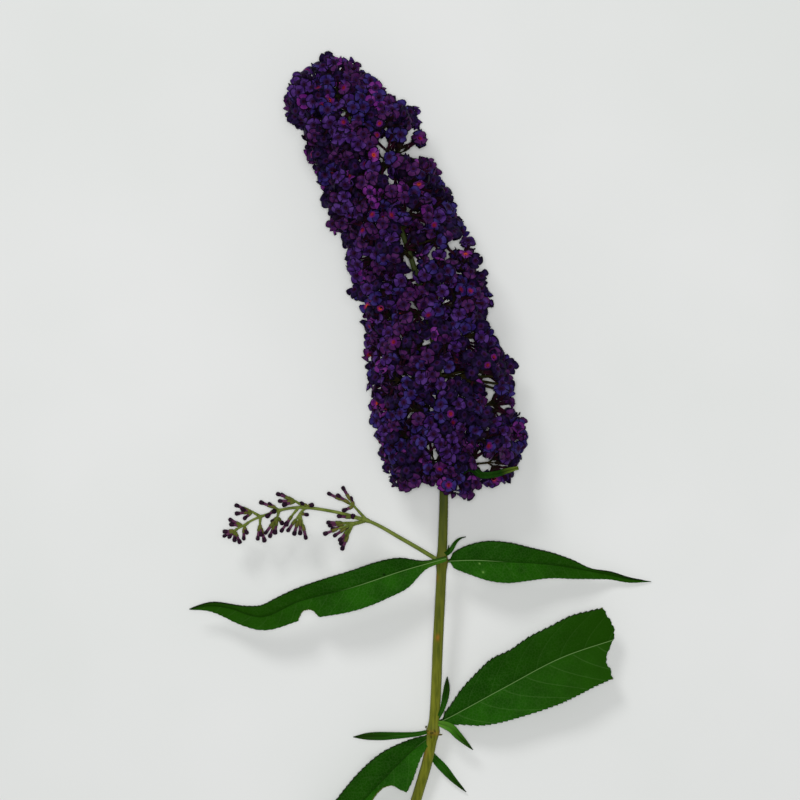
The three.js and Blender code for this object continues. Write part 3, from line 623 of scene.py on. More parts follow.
def torn_off(leaf, u, spread):
    """How far up the leaf a corner lies, given that the leaf may have lost its end."""
    if "torn" not in leaf:
        return u
    ends = np.interp((spread + 1) / 2, np.linspace(0, 1, len(leaf["torn"])), leaf["torn"])
    ragged = sum(strength * np.sin(spread * wave) for strength, wave in TEAR_WAVES)
    return u * ends + TEAR_RAGS * u**8 * ragged


def quilted(away, width, number):
    """The relief of the upper face: it bulges between the veins, and sinks along them and along the
    midrib."""
    near = np.abs((number % 1) - 0.5) * 2  # 1 on a vein
    bulging = np.clip(away / FLAT_BY_RIB, 0, 1) * np.clip((width - away) / FLAT_BY_EDGE, 0, 1)
    relief = bulging * (QUILT_HEIGHT * (1 - near) - VEIN_DEPTH * np.exp(-(((1 - near) / VEIN_WIDTH) ** 2)))
    return relief - RIB_GROOVE * np.exp(-((away / RIB_HALF) ** 2))


# %% The blade's rule
def blade_rule(leaf, size):
    """Where each corner of a blade lies; size is 1 for a full leaf and less for the relief of a small
    one."""
    leaf = {**USUAL, **leaf}
    start = leaf["start"] if "start" in leaf else seat_on_stem(leaf["node"], leaf["above"])
    midrib = Line([start, *leaf["midrib"]])
    halves = [smooth(leaf["left"]), smooth(leaf["right"])]
    shares = np.linspace(0, 1, len(halves[0]))

    def rule(u, v):
        spread = 1 - 2 * v  # 1 at the left edge, -1 at the right one
        side_of = np.where(spread >= 0, 1, -1)
        share = torn_off(leaf, u, spread)
        left_over, wound = bitten(leaf, side_of, share)
        left, right = (np.interp(share, shares, half) for half in halves)
        width = np.where(side_of > 0, left, right) * MM
        length = share * midrib.length
        if "stalk" in leaf:
            begun = np.clip((length / MM - leaf["stalk"][0]) / (leaf["stalk"][1] - leaf["stalk"][0]), 0, 1)
            width = np.maximum(width * begun, np.minimum(width, STALK_HALF))
        teeth = size * leaf["teeth"] * MM * ((length / TOOTH_SPACING) % 1)
        teeth = teeth * np.clip(width / (2 * MM) - 0.3, 0, 1) * (1 - wound)
        width = width * left_over
        away = np.abs(spread) * width
        reach = away + teeth * np.abs(spread) ** 10
        number = (length - VEIN_LEAN * away - VEIN_BEND * away**2) / (leaf["veins"] * MM)
        number = number + 0.5 * (side_of > 0)
        wave = np.sin(length / WAVE_LENGTH + SIDES_APART * side_of) * spread**2
        wave = wave * np.sin(math.pi * share) ** 0.5
        direction = midrib.along(length)
        level = unit(np.cross(UP, direction))
        lift = leaf["fold"] * away + size * (quilted(away, width, number) + EDGE_WAVE * wave)
        place = midrib.at(length) + level * (side_of * reach)[:, None]
        place += np.cross(direction, level) * lift[:, None]
        place[:, 2] = np.maximum(place[:, 2], 1.2 * BLADE_THICKNESS)
        painted_shade_half = side_of == leaf["painted_shade_half"]
        marks = {
            "from_midrib": away / MM,
            "vein_number": number,
            "to_edge": (width - away) / MM,
            "wound": wound + (u > BROWN_END if "torn" in leaf else 0),
            "share": share,
            "foot": np.clip(PALEST * (1 - share / leaf["foot"]), 0, 1),
            "pale_rib": np.clip((leaf["pale_to"] - share) / PALE_FADE, 0, 1),
            "shaded_margin": np.clip(level[:, 1] * side_of * MARGIN_TURN, 0, 1) * (size >= 1),
            "painted_shade_half": painted_shade_half * np.clip(away / PAINTED_SHADE_FROM, 0, 1),
            "veins_show": np.where(painted_shade_half, VEINS_IN_PAINTED_SHADE, 1.0) * leaf["veins_show"],
            "pale_mark": np.zeros_like(u),
            "dark_mark": np.zeros_like(u),
        }
        for x, y, radius, kind in leaf["marks"]:
            apart = np.hypot(place[:, 0] - x * MM, place[:, 1] - y * MM) / (radius * MM)
            marks[kind + "_mark"] += np.exp(-(apart**2))
        return place, marks

    return rule


# %% [markdown]
# The upper face of a leaf is dark green with a thin waxy shine; its midrib and veins show paler. The
# underside is covered in a grey-green felt of hairs. Both finishes read the values kept at the corners, so
# the veins that are coloured are the ones that are modelled.

# %% Leaf finishes
NET = 1.2 * MM  # the net of the finest veins, half as wide on a real leaf, where it wouldn't show in a render


def between_veins(material):
    """0 on a side vein and 0.5 halfway to the next."""
    number = add_node(material, "Attribute", {"attribute_name": "vein_number"}).outputs["Fac"]
    return add_node(material, "Math", {"operation": "PINGPONG", 1: 0.5}, {0: number}).outputs["Value"]


def leaf_upper_face(name, colours, vein, foot, tip, tip_from):
    """The upper face of a leaf: deep green, nearly matt, with a pale line along its midrib. Light that
    falls through the tissue makes the young foot of a leaf brighter than its tip."""
    material = new_material(name, roughness=0.5, specular=0.01)
    base, _ = mottled(material, colours, size=8 * MM, detail=6.0)
    place = add_node(material, "TexCoord").outputs["Object"]
    cells = {"Scale": 1 / NET, "feature": "DISTANCE_TO_EDGE"}
    net = add_node(material, "TexVoronoi", cells, {"Vector": place}).outputs["Distance"]
    limits = {"From Min": 0.12, "From Max": 0.0}
    fine = add_node(material, "MapRange", limits, {"Value": net}).outputs["Result"]
    layers = [
        # painted shade: the half of the fold that turns away from the light is laid over with darker green
        ("#0C2C02", "painted_shade_half", 0, 1, 0.42),
        (vein, fine, 0, 1, 0.05),
        (tip, "share", tip_from, 0.95, 0.85),
        (foot, "foot", 0, 1, 0.8),
        (vein, between_veins(material), 0.04, 0, 0.16, "veins_show"),
        # painted shade in the groove along the midrib
        ("#0C2602", "from_midrib", 0.32, 0.12, 0.6),
        (vein, "from_midrib", 0.2, 0.04, 0.6, "pale_rib"),
        ("#1C1A16", "to_edge", 0.5, 0.2, 0.75, "shaded_margin"),
        ("#6A6A2A", "to_edge", 0.4, 0.1, 0.5, "wound"),
        ("#6E9A4A", "pale_mark", 0, 1, 1),
        ("#081404", "dark_mark", 0, 1, 1),
    ]
    return dress(material, layered(material, base, layers), fine, 0.1 * MM, 0.35)


def leaf_felt():
    """The felted underside of a leaf: grey-green and matt, with raised pale veins."""
    material = new_material("felted_underside", roughness=0.85, specular=0.1, sheen=0.25)
    base, noise = mottled(material, ("#7F9068", "#93A07C"), size=3 * MM)
    layers = [
        ("#B0B88E", between_veins(material), 0.07, 0, 0.6),
        ("#B0B88E", "from_midrib", 0.9, 0.4, 0.7),
    ]
    return dress(material, layered(material, base, layers), noise, 0.1 * MM)


LEAF_GREENS = [
    # name, two greens, veins, foot, tip, and the share of the length where the tip's colour starts
    ("deep_leaf_green", ("#164204", "#1E5206"), "#86AE66", "#3C6A18", "#1C4204", 0.35),
    ("young_leaf_green", ("#2A5C10", "#366C16"), "#4F7C2E", "#5E9030", "#24340C", 0.45),
    ("shaded_leaf_green", ("#184608", "#22540E"), "#3E6A24", "#2C5A14", "#1C260A", 0.4),
    ("bract_leaf_green", ("#102E08", "#1A400C"), "#4E8434", "#0C220A", "#66762A", 0.8),
]
DEEP_GREEN, YOUNG_GREEN, SHADED_GREEN, BRACT_GREEN = [leaf_upper_face(*values) for values in LEAF_GREENS]
LEAF_FELT = leaf_felt()


# %% Blades
FULL_RELIEF, SMALL_RELIEF = 1.0, 0.25


def blade(leaf, grid_size, size, face):
    """A leaf of one thin closed shell: the grid, thickened downwards."""
    grid = laid_grid(leaf["name"] + "_blade", *grid_size, blade_rule(leaf, size))
    thickness = grid.modifiers.new("thickness", "SOLIDIFY")
    thickness.thickness = BLADE_THICKNESS
    thickness.offset = -1
    thickness.material_offset = 1
    bpy.ops.object.modifier_apply(modifier=thickness.name)
    hand_over(grid, "leaf", [leaf["name"].removesuffix("_second")], face, LEAF_FELT)


for leaf in LEAVES:
    blade(leaf, GRID_LARGE, FULL_RELIEF, DEEP_GREEN)
SMALL_FACES = {"bract_leaf": BRACT_GREEN, "shoot_leaf_hanging": YOUNG_GREEN}
for name, node, above, half, shape, fold, foot, midrib in SMALL_LEAVES:
    widths = [share * half for share in shape]
    small = {"name": name, "node": node, "above": above, "midrib": midrib, "foot": foot}
    small.update({"left": widths, "right": widths, "fold": fold, "veins": 3.0, "pale_to": 0.6})
    blade(small, GRID_SMALL, SMALL_RELIEF, SMALL_FACES.get(name, SHADED_GREEN))

# %% [markdown]
# ## The flower spike
# The spike is a crowd of small clusters. Pairs of them stand opposite each other on the stem, each pair a
# quarter turn from the last, as the leaves do. A cluster forks into three branchlets, a branchlet ends in
# five fingers, and a finger carries three or four florets. That is the rule of the solids carried two forks
# further, within the same reach. The florets are about 6.5 mm across, so some 1,500 of them are needed, and
# no one could place those by hand: their places are worked out, eased apart until each has its room, and
# kept out of the openings where light shows through.

# %% Spike sizes
TIERS = [
    # mm from the foot of the spike, and reach of the flowers in mm to the right, to the left and upwards
    (11, 30.2, 23.5, 24.0),
    (21, 35.6, 26.5, 27.0),
    (33, 30.6, 28.5, 27.5),
    (46, 30.4, 29.0, 27.5),
    (59, 26.4, 27.8, 27.0),
    (72, 26.4, 26.0, 26.5),
    (85, 29.5, 27.0, 26.5),
    (98, 24.8, 25.4, 26.0),
    (110, 23.6, 26.2, 25.5),
    (122, 22.4, 26.6, 25.0),
    (134, 22.0, 22.6, 24.5),
    (146, 25.5, 22.6, 23.5),
    (156, 19.5, 25.0, 21.0),
]
FIRST_PAIR_TURN = 12  # degrees from the level to the first pair
BRANCHES = (-60, 0, 60)  # degrees round the stem of a cluster's three branchlets
FORK_REACH = 7.5  # mm from the stem's middle to a cluster's fork
FORK_RISE = 4.0  # mm that a cluster climbs from its root
FAN = 12.0  # mm from a branchlet's head to the faces of its florets
FOOT_HEADS = [
    # mm from the foot, angle round the stem and reach of the small clusters that cover the stem's entry
    (6, 66, 18.5),
    (7, 112, 19.5),
]
BARE_TWIGS = [
    # both ends in mm, of the fork that is seen bare at the spike's right side
    ((16.0, 43.6, 30.0), (29.6, 48.2, 29.0)),
    ((17.0, 43.4, 31.0), (31.6, 43.9, 29.0)),
    ((17.0, 43.0, 30.0), (32.4, 40.6, 28.0)),
    ((18.0, 42.6, 29.0), (31.6, 38.4, 27.0)),
]
TIP_AHEAD = 5.0  # mm that the head which ends the stem stands on
TIP_RINGS = [
    # number of heads round it, how far they lean out and are turned, in degrees
    (4, 36, 45),
    (6, 76, 0),
]
TIP_REACH = 7.2
TIP_SHIFT = (-2.2, -2.6, 0.0)  # mm that the round head of the spike is off the stem's end
TIP_FAN = 10.4  # mm from these heads to their faces
STALK_RADIUS, BRANCHLET_RADIUS, BARE_RADIUS, TIP_RADIUS = 0.85, 0.6, 0.75, 0.5  # mm, of the twigs


# %% Where the branchlets' heads are
def stem_frame(distance):
    """The stem's middle, its way, and its right and upper sides, so far from the foot of the spike."""
    length = np.minimum(FOOT + distance * MM, stem.length)
    forward = stem.along(length)
    right = unit(np.cross(forward, UP))
    return stem.at(length), forward, right, np.cross(right, forward)


def spoke(distance, angle):
    """The direction at this angle round the stem."""
    _, _, right, above = stem_frame(distance)
    return right * math.cos(angle) + above * math.sin(angle)


def reach_of(tier, angle):
    """How far the flowers of a tier reach from the stem's middle at this angle round it."""
    _, right, left, up = tier
    sideways = right if math.cos(angle) > 0 else left
    return 1 / math.hypot(math.cos(angle) / sideways, math.sin(angle) / up)


def spread_round(way, count, lean, spin):
    """Directions that lean evenly round one."""
    level, across = square_to(way[None])
    angles = spin + np.arange(count) * 2 * math.pi / count
    out = level * np.cos(angles)[:, None] + across * np.sin(angles)[:, None]
    return way * math.cos(lean) + out * math.sin(lean)


def spike_heads():
    """Each head of a branchlet, as its middle, its way and its fan, and the twigs that lead to them."""
    heads, twigs = [], []
    for number, tier in enumerate(TIERS):
        distance = tier[0]
        for half in (0, 180):
            angle = math.radians(FIRST_PAIR_TURN + 90 * (number % 2) + half)
            root = stem_frame(distance - FORK_RISE)[0]
            fork = stem_frame(distance - 1)[0] + spoke(distance - 1, angle) * FORK_REACH * MM
            twigs.append((root, fork, spoke(distance, angle), STALK_RADIUS))
            for branch in BRANCHES:
                turn = angle + math.radians(branch)
                outward = spoke(distance, turn)
                middle = stem_frame(distance)[0] + outward * (reach_of(tier, turn) - FAN) * MM
                heads.append((middle, outward, FAN))
                twigs.append((fork, middle, outward, BRANCHLET_RADIUS))
    for distance, degrees, reach in FOOT_HEADS:
        outward = spoke(distance, math.radians(degrees))
        root = stem_frame(distance + 3)[0]
        heads.append((root + outward * (reach - FAN) * MM, outward, FAN))
        twigs.append((root, heads[-1][0], outward, BRANCHLET_RADIUS))
    for root, end in BARE_TWIGS:
        root, end = np.array(root) * MM, np.array(end) * MM
        twigs.append((root, end, unit(end - root), BARE_RADIUS))
    top, forward, _, _ = stem_frame(np.inf)
    top = top + np.array(TIP_SHIFT) * MM
    heads.append((top + forward * TIP_AHEAD * MM, forward, TIP_FAN))
    for count, lean, turned in TIP_RINGS:
        for way in spread_round(forward, count, math.radians(lean), math.radians(turned)):
            heads.append((top + way * TIP_REACH * MM, way, TIP_FAN))
            twigs.append((top, top + way * TIP_REACH * MM, way, TIP_RADIUS))
    return heads, twigs


heads, spike_twigs = spike_heads()
print(len(heads), "heads of branchlets")

# %% [markdown]
# Light shows through the spike in a few places, and its outline has hollows. Both are strips that the
# florets' faces are pushed out of sideways. They widen downwards, because the camera looks past the upper
# florets at a slant. A few dozen pinholes are spread over the spike as well.

# %% Openings
OPENINGS = [
    # x and y of both ends and the half width, in mm, of the gaps that light shows through
    (-14.4, 134.0, 4.0, 134.4, 2.2), (-14.5, 127.0, -13.5, 124.0, 1.0), (-10.0, 121.5, -8.5, 120.5, 1.0),
    (-6.8, 99.0, -1.5, 86.0, 1.5), (16.0, 97.5, 14.5, 96.0, 1.1), (10.5, 94.0, 11.5, 93.0, 0.9),
    (-2.4, 72.0, -1.6, 67.0, 1.0), (20.6, 60.0, 21.0, 56.5, 0.9), (19.8, 42.0, 22.0, 40.5, 0.2),
    (25.5, 45.2, 28.5, 44.6, 0.3), (27.0, 42.4, 30.0, 41.6, 0.3), (28.6, 37.0, 32.4, 30.5, 1.9),
    (4.5, 15.0, 7.0, 11.5, 1.5), (23.5, 14.5, 27.0, 9.0, 1.2), (31.0, 10.5, 32.0, 9.0, 0.8),
    (-4.0, 30.5, -2.5, 30.0, 0.8), (-41.0, 146.5, -38.5, 145.5, 0.9), (-42.6, 165.5, -40.5, 165.0, 0.9),
    (-31.2, 166.4, -30.6, 164.2, 0.5), (-35.8, 166.2, -35.4, 162.8, 0.4), (-33.5, 158.5, -32.0, 153.5, 0.6),
    (-29.4, 149.2, -28.8, 147.6, 0.3), (-19.9, 156.4, -19.2, 155.0, 0.4), (-45.0, 155.5, -44.0, 155.0, 0.8),
    (-4.0, 140.0, -2.4, 140.4, 0.9),
]
NOTCHES = [
    # the same for the hollows in the outline of the spike
    (-13.7, 162.1, -4.9, 155.7, 2.4), (-35.0, 177.6, -22.0, 176.0, 0.6), (-50.6, 142.5, -49.4, 134.5, 1.6),
    (-48.5, 131.5, -45.0, 126.0, 1.8), (-33.8, 98.0, -32.6, 93.5, 1.4), (-25.6, 72.5, -24.6, 66.5, 1.2),
    (24.9, 98.0, 29.0, 87.0, 2.4), (30.2, 67.5, 33.5, 61.5, 2.8), (40.6, 38.0, 41.0, 31.0, 2.0),
    (-1.5, -2.4, 6.5, -2.8, 2.2), (13.0, -6.5, 24.0, -6.0, 1.3), (30.0, -3.0, 36.0, -1.0, 1.6),
]
PINHOLES, PINHOLE_HALF, PINHOLE_SEED = 44, 0.1, 3  # how many, half width in mm, seed
PINHOLE_SPREAD = 0.8  # how far across the spike they go, as a share of its reach
TIER_HALF = 6  # mm, half the way between two tiers
FACE_HALF = 2.9  # mm that a floret's middle is kept from an opening's edge
OPEN_CORE = 1.3  # mm from an opening's edge within which a floret is left out
OPENING_TOP = 34.0  # mm above the sheet
OPENING_FLARE = 0.06  # and how much an opening widens below that, for each mm down
OPENING_PUSH = 0.7  # share of the way out that a floret is pushed at a time
BRACT_SEEN = (22.0, 5.6, 39.0, 7.4)  # mm, the part of the narrow leaf that shows
BRACT_CLEARANCE, BRACT_HEIGHT = 3.3, 27.0  # mm kept free beside it, above this height


# %% Keeping clear of the openings
def pinholes():
    """Small upright gaps, spread over the spike as it is seen from above."""
    own_rng = np.random.default_rng(PINHOLE_SEED)
    for _ in range(PINHOLES):
        tier = TIERS[own_rng.integers(len(TIERS))]
        middle, _, right, _ = stem_frame(tier[0] + own_rng.uniform(-TIER_HALF, TIER_HALF))
        aside = own_rng.uniform(-PINHOLE_SPREAD * tier[2], PINHOLE_SPREAD * tier[1])
        x, y = (middle / MM + right * aside)[:2]
        yield (x, y, x, y, PINHOLE_HALF)


def from_strip(points, strip):
    """The way from a strip's middle line to each point, as seen from above, and how long it is."""
    a, b = np.array(strip[:2]) * MM, np.array(strip[2:4]) * MM
    share = np.clip(((points[:, :2] - a) @ (b - a)) / max((b - a) @ (b - a), 1e-12), 0, 1)
    away = points[:, :2] - (a + share[:, None] * (b - a))
    return away, np.linalg.norm(away, axis=1)


def clear_of_openings(points):
    """Points moved sideways out of the openings."""
    for strip in OPENINGS + NOTCHES:
        away, distance = from_strip(points, strip)
        keep = (strip[4] + FACE_HALF) * MM + OPENING_FLARE * np.maximum(OPENING_TOP * MM - points[:, 2], 0)
        pushed = away / np.maximum(distance, 1e-6)[:, None] * np.maximum(keep - distance, 0)[:, None]
        points[:, :2] += pushed * OPENING_PUSH
    return points


def left_standing(points):
    """Which florets leave the openings' middles and the narrow leaf at the spike's foot to be seen."""
    stands = (from_strip(points, BRACT_SEEN)[1] > BRACT_CLEARANCE * MM) | (points[:, 2] < BRACT_HEIGHT * MM)
    for strip in OPENINGS:
        stands &= from_strip(points, strip)[1] > (strip[4] + OPEN_CORE) * MM
    return stands


OPENINGS += pinholes()
print(len(OPENINGS), "openings and", len(NOTCHES), "hollows")

# %% The florets' places
FINGER = 3.0  # mm of that which is the finger's own twig
FINGER_LEAN = 44  # degrees that the outer four fingers lean out
FLORET_LEAN = 27  # degrees that florets lean from their finger
FINGER_LEANS, FLORET_LEANS, FLORET_LENGTHS = (0.9, 1.1), (0.8, 1.2), (0.8, 1.04)  # least and most share
FLORETS_PER_FINGER = (3, 4)
FINGER_RADIUS = 0.42
FACE_SPACING = 5.0  # mm that faces are eased apart to
EASING_ROUNDS, EASING = 50, 0.25  # how often, and by what share of what is missing
FLOOR_REST = 1.6  # mm above the sheet that the lowest faces are held at
rng = np.random.default_rng(7)


def fingers_of(middle, outward):
    """The directions of a head's five fingers: one on, and four that lean out."""
    lean = math.radians(FINGER_LEAN) * rng.uniform(*FINGER_LEANS)
    return np.concatenate([outward[None], spread_round(outward, 4, lean, rng.uniform(0, 2 * math.pi))])


def grow_florets():
    """Each floret's root, its length, the place of its face and the number of its finger."""
    roots, faces, lengths, sprays = [], [], [], []
    for middle, outward, fan in heads:
        for way in fingers_of(middle, outward):
            root = middle + way * FINGER * MM
            spike_twigs.append((middle, root, way, FINGER_RADIUS))
            count = rng.integers(FLORETS_PER_FINGER[0], FLORETS_PER_FINGER[1] + 1)
            lean = math.radians(FLORET_LEAN) * rng.uniform(*FLORET_LEANS)
            for floret in spread_round(way, count, lean, rng.uniform(0, 2 * math.pi)):
                length = (fan - FINGER) * rng.uniform(*FLORET_LENGTHS) * MM
                roots.append(root)
                lengths.append(length)
                faces.append(root + floret * length)
                sprays.append(len(spike_twigs))
    return np.array(roots), np.array(lengths), np.array(faces), np.array(sprays)


def ease_apart(roots, lengths, faces):
    """Eases the faces apart, each at its own length from its root and none below the sheet."""
    spacing = FACE_SPACING * MM
    for _ in range(EASING_ROUNDS):
        apart = faces[:, None] - faces[None]
        distance = np.linalg.norm(apart, axis=2)
        np.fill_diagonal(distance, 1)
        push = np.where(distance < spacing, EASING * (spacing - distance) / np.maximum(distance, 1e-5), 0)
        faces = clear_of_openings(faces + (apart * push[..., None]).sum(1))
        faces = roots + unit(faces - roots) * lengths[:, None]
        faces[:, 2] = np.maximum(faces[:, 2], FLOOR_REST * MM)
    return faces


roots, lengths, faces, sprays = grow_florets()
faces = ease_apart(roots, lengths, faces)
kept = left_standing(faces)
roots, lengths, faces, sprays = roots[kept], lengths[kept], faces[kept], sprays[kept]
print(len(faces), "florets")

# %% [markdown]
# ## One floret
# A floret is a narrow tube, about 9 mm long, that opens into four rounded, wavy lobes. It sits in a small
# cup with four teeth. Its lobes are violet, flushed towards the middle, and a few florets show a warm eye
# and throat. Each of these is a tiny shape of a few dozen faces, modelled once and copied, and the lobes
# have fourteen versions. The edges of the lobes and the creases between them are a shape of their own as
# well, laid in near black as painted shade where the lobes curl away from the light. What has its own
# colour is a shape of its own, because a colour that has a place survives every export as a plain one.

# %% Modelling helpers for small shapes
def taken():
    """The active object's corners and faces; the object itself isn't needed any more. The faces are
    sorted, because an extrude may number new ones in another order from run to run."""
    shape = bpy.context.object
    corners = np.array([v.co for v in shape.data.vertices])
    shape_faces = sorted(tuple(p.vertices) for p in shape.data.polygons)
    bpy.data.objects.remove(shape)
    return corners, shape_faces


def drawn_out(sides, rings, closed_foot=False, closed_top=False):
    """The corners and faces of a tube drawn out ring by ring: a circle is extruded, then widened and
    lifted. Each ring is a radius and a height in mm."""
    bpy.ops.object.select_all(action="DESELECT")
    fill = "NGON" if closed_foot else "NOTHING"
    radius, height = rings[0]
    bpy.ops.mesh.primitive_circle_add(vertices=sides, radius=radius * MM, fill_type=fill, location=(0, 0, 0))
    bpy.ops.object.mode_set(mode="EDIT")
    bpy.ops.mesh.select_all(action="SELECT")
    bpy.ops.transform.translate(value=(0, 0, height * MM))
    for next_radius, next_height in rings[1:]:
        wider = next_radius / radius
        bpy.ops.mesh.extrude_region_move()
        bpy.ops.transform.resize(value=(wider, wider, 1), center_override=(0, 0, 0))
        bpy.ops.transform.translate(value=(0, 0, (next_height - height) * MM))
        radius, height = next_radius, next_height
    if closed_top and not closed_foot:
        bpy.ops.mesh.edge_face_add()
    bpy.ops.object.mode_set(mode="OBJECT")
    return taken()


def toothed_cup(rings, tooth):
    """A cup of eight sides, with every other corner of its rim drawn up into a tooth."""
    corners, shape_faces = drawn_out(8, rings, closed_foot=True)
    corners[-8::2, 2] += tooth * MM
    return corners, shape_faces


# %% The face of a floret
LOBE_REACH = 3.5  # mm from the middle to the tip of a lobe
EYE_REACH = 0.8
MOUTH = 0.34
LOBE_TURNS = (-45, -39, -26, -9, 9, 26, 39)  # degrees from the middle of a lobe to the corners of its edge
LOBE_EDGE = (0.66, 0.88, 0.98, 1.0, 1.0, 0.98, 0.88)  # how far out each is
FACE_RINGS = (0.0, 0.28, 0.84, 1.0)  # shares of the way from the eye to the edge
WAVE = 0.5  # mm that a lobe's edge waves up and down
DOMED = 0.24  # how much a lobe is bowed across, in mm for each square mm
END_DROP = 0.45  # mm that a lobe's rim turns down
LOBE_WAVES = 3.6  # radians of that wave for each radian across the lobe
LOBE_SIZES = (0.86, 1.06)
EDGE_STRAY = 0.05  # share by which the corners of the edge are out of place
CURL_FROM = EYE_REACH * 0.7  # mm from the middle where a lobe starts to curl
CURLS = [
    # how far the lobes of a face may curl up, in radians: least and most; open ones, cupped ones, folded ones
    (-0.8, 0.5), (-0.8, 0.4), (-1.2, -0.2), (-1.2, -0.2), (-1.5, -0.4), (-1.0, 0.8), (-0.3, 1.0),
    (0.3, 1.3), (-0.5, 1.9), (-0.9, 1.9), (-0.6, 2.4), (-1.0, 2.4), (0.8, 2.2), (1.2, 2.8),
]


# %% Shaping a face
def curled(flat, curl):
    """Where a corner of a flat lobe lies, at flat mm along it, once the lobe is curled up: along and
    height."""
    arm = max(flat - CURL_FROM, 0)
    turn = (curl if abs(curl) >= 0.01 else 0.01) * arm / (LOBE_REACH - CURL_FROM)
    bow = arm / turn if arm > 0 else 1.0
    return flat - arm + bow * math.sin(turn), bow * (1 - math.cos(turn))


def floret_face(curls):
    """Four lobes round the eye, each curled and waved in its own way. Its first ring of faces is the flush.
    The last ring, and the creases between lobes, are the rim, which carries painted shade where the
    lobes curl away from the light."""
    corners_a_lobe = len(LOBE_TURNS)
    sides = 4 * corners_a_lobe
    corners, shape_faces = drawn_out(sides, [(EYE_REACH + share, 0) for share in FACE_RINGS])
    lobe_curls = rng.uniform(*curls, 4)
    waves, shrink = rng.uniform(0, 2 * math.pi, 4), rng.uniform(*LOBE_SIZES, 4)
    placed = np.zeros_like(corners)
    for number, (ring, side_number) in enumerate(np.ndindex(len(FACE_RINGS), sides)):
        lobe, corner = divmod(side_number, corners_a_lobe)
        share = FACE_RINGS[ring]
        spots = []
        for own in (lobe, lobe - 1) if corner == 0 else (lobe,):
            edge = LOBE_REACH * LOBE_EDGE[corner] * shrink[own]
            reach = EYE_REACH + (edge - EYE_REACH) * share
            turn = math.radians(LOBE_TURNS[corner]) + math.pi / 2 * (lobe - own)
            along, rise = curled(reach * math.cos(turn), lobe_curls[own])
            across = reach * math.sin(turn)
            rise += WAVE * share**2 * math.sin(LOBE_WAVES * turn + waves[own]) - DOMED * across**2 * share
            rise -= END_DROP * max(2 * share - 1, 0) ** 2
            axis = math.pi / 2 * own
            x = along * math.cos(axis) - across * math.sin(axis)
            y = along * math.sin(axis) + across * math.cos(axis)
            spots.append((x, y, rise))
        placed[number] = np.mean(spots, axis=0) * (1 + EDGE_STRAY * share * rng.uniform(-1, 1)) * MM
    flush = [f for f in shape_faces if min(f) < sides]
    outer = [f for f in shape_faces if min(f) >= sides]
    last = (len(FACE_RINGS) - 2) * sides
    rim = [f for f in outer if min(f) >= last or any(corner % corners_a_lobe == 0 for corner in f)]
    lobes = [f for f in outer if f not in rim]
    return (placed, flush), (placed, lobes), (placed, rim)


FACE_SHAPES = [floret_face(curls) for curls in CURLS]
FACE_KINDS = len(FACE_SHAPES)
EYE_SHAPE = drawn_out(12, [(MOUTH, -0.18), (EYE_REACH * 1.02, 0.02)])
THROAT_SHAPE = drawn_out(8, [(MOUTH * 0.55, -1.5), (MOUTH * 1.03, -0.17)], closed_foot=True)
FURLED_RINGS = [(0.62, -1.7), (0.95, -0.9), (1.15, 0.0), (0.95, 0.8), (0.45, 1.2)]
FURLED_SHAPE = drawn_out(8, FURLED_RINGS, closed_top=True)
print(FACE_KINDS, "kinds of floret, each of", sum(len(part[1]) for part in FACE_SHAPES[0]), "faces")

# %% Tube, cup and twig
TUBE = 9.0  # mm, the length of the shape; a copy is stretched to its floret's length
TUBE_SHAPE = drawn_out(8, [(0.42, -TUBE), (0.5, -TUBE * 0.55), (0.62, -0.9), (0.9, -0.05)])
CALYX_RINGS = [(0.26, -TUBE - 0.5), (0.62, -TUBE + 0.3), (0.68, -TUBE + 1.5), (0.78, -TUBE + 2.0)]
CALYX_SHAPE = toothed_cup(CALYX_RINGS, 0.8)
bpy.ops.mesh.primitive_cylinder_add(vertices=6, depth=1, end_fill_type="TRIFAN", location=(0, 0, 0.5))
bpy.ops.object.transform_apply(location=True)
TWIG_SHAPE = taken()

# %% Joining copies
PRESSED_TO = 0.05 * MM  # above the sheet


def stood(origins, ways, spins, sizes=1.0, stretch=1.0):
    """Frames for copies: each stands at its origin, turned to its way and spun about it."""
    level, across = square_to(ways)
    turn = np.asarray(spins)[:, None]
    first = level * np.cos(turn) + across * np.sin(turn)
    second = np.cross(ways, first)
    size = np.broadcast_to(sizes, len(origins))[:, None]
    longer = np.broadcast_to(stretch, len(origins))[:, None]
    return origins, np.stack([first * size, second * size, ways * longer], axis=2)


def joined(name, batches):
    """One mesh of many copies. A batch is a shape and the frames that its copies stand in. What would go
    through the sheet is pressed flat on it."""
    corners, all_faces, first = [], [], 0
    for (shape, shape_faces), (origins, axes) in batches:
        if not len(origins):
            continue
        placed = origins[:, None] + np.einsum("kj,mij->mki", shape, axes)
        corners.append(placed.reshape(-1, 3))
        for copy in range(len(origins)):
            start = first + copy * len(shape)
            all_faces.extend([tuple(start + c for c in face) for face in shape_faces])
        first += len(origins) * len(shape)
    corners = np.concatenate(corners)
    corners[:, 2] = np.maximum(corners[:, 2], PRESSED_TO)
    mesh = bpy.data.meshes.new(name)
    mesh.from_pydata(corners.tolist(), [], all_faces)
    piece = bpy.data.objects.new(name, mesh)
    bpy.context.scene.collection.objects.link(piece)
    bpy.ops.object.select_all(action="DESELECT")
    piece.select_set(True)
    bpy.context.view_layer.objects.active = piece
    bpy.ops.object.mode_set(mode="EDIT")
    bpy.ops.mesh.select_all(action="SELECT")
    bpy.ops.mesh.delete_loose()
    bpy.ops.object.mode_set(mode="OBJECT")
    return piece


# %% [markdown]
# ## Petal finishes
# Petals are thin, soft tissue with a velvet of tiny bumps: matt, with a faint sheen where the light
# grazes them. No two florets are quite one colour, so they are dealt out finger by finger among a few
# plain colours, from a blue indigo to magenta. One texture over the whole spike would blur those steps.

# %% Colours of the spike
def soft_tissue(name, colours):
    """Velvety plant tissue, of petals, tubes, cups and young twigs. Its cells are far finer than they are
    drawn here, at 2.5 mm, which gives each floret its own faint unevenness."""
    material = new_material(name, roughness=0.6, specular=0.04, sheen=0.01)
    colour, noise = mottled(material, colours, size=2.5 * MM)
    return dress(material, colour, noise, 0.15 * MM, 0.5)


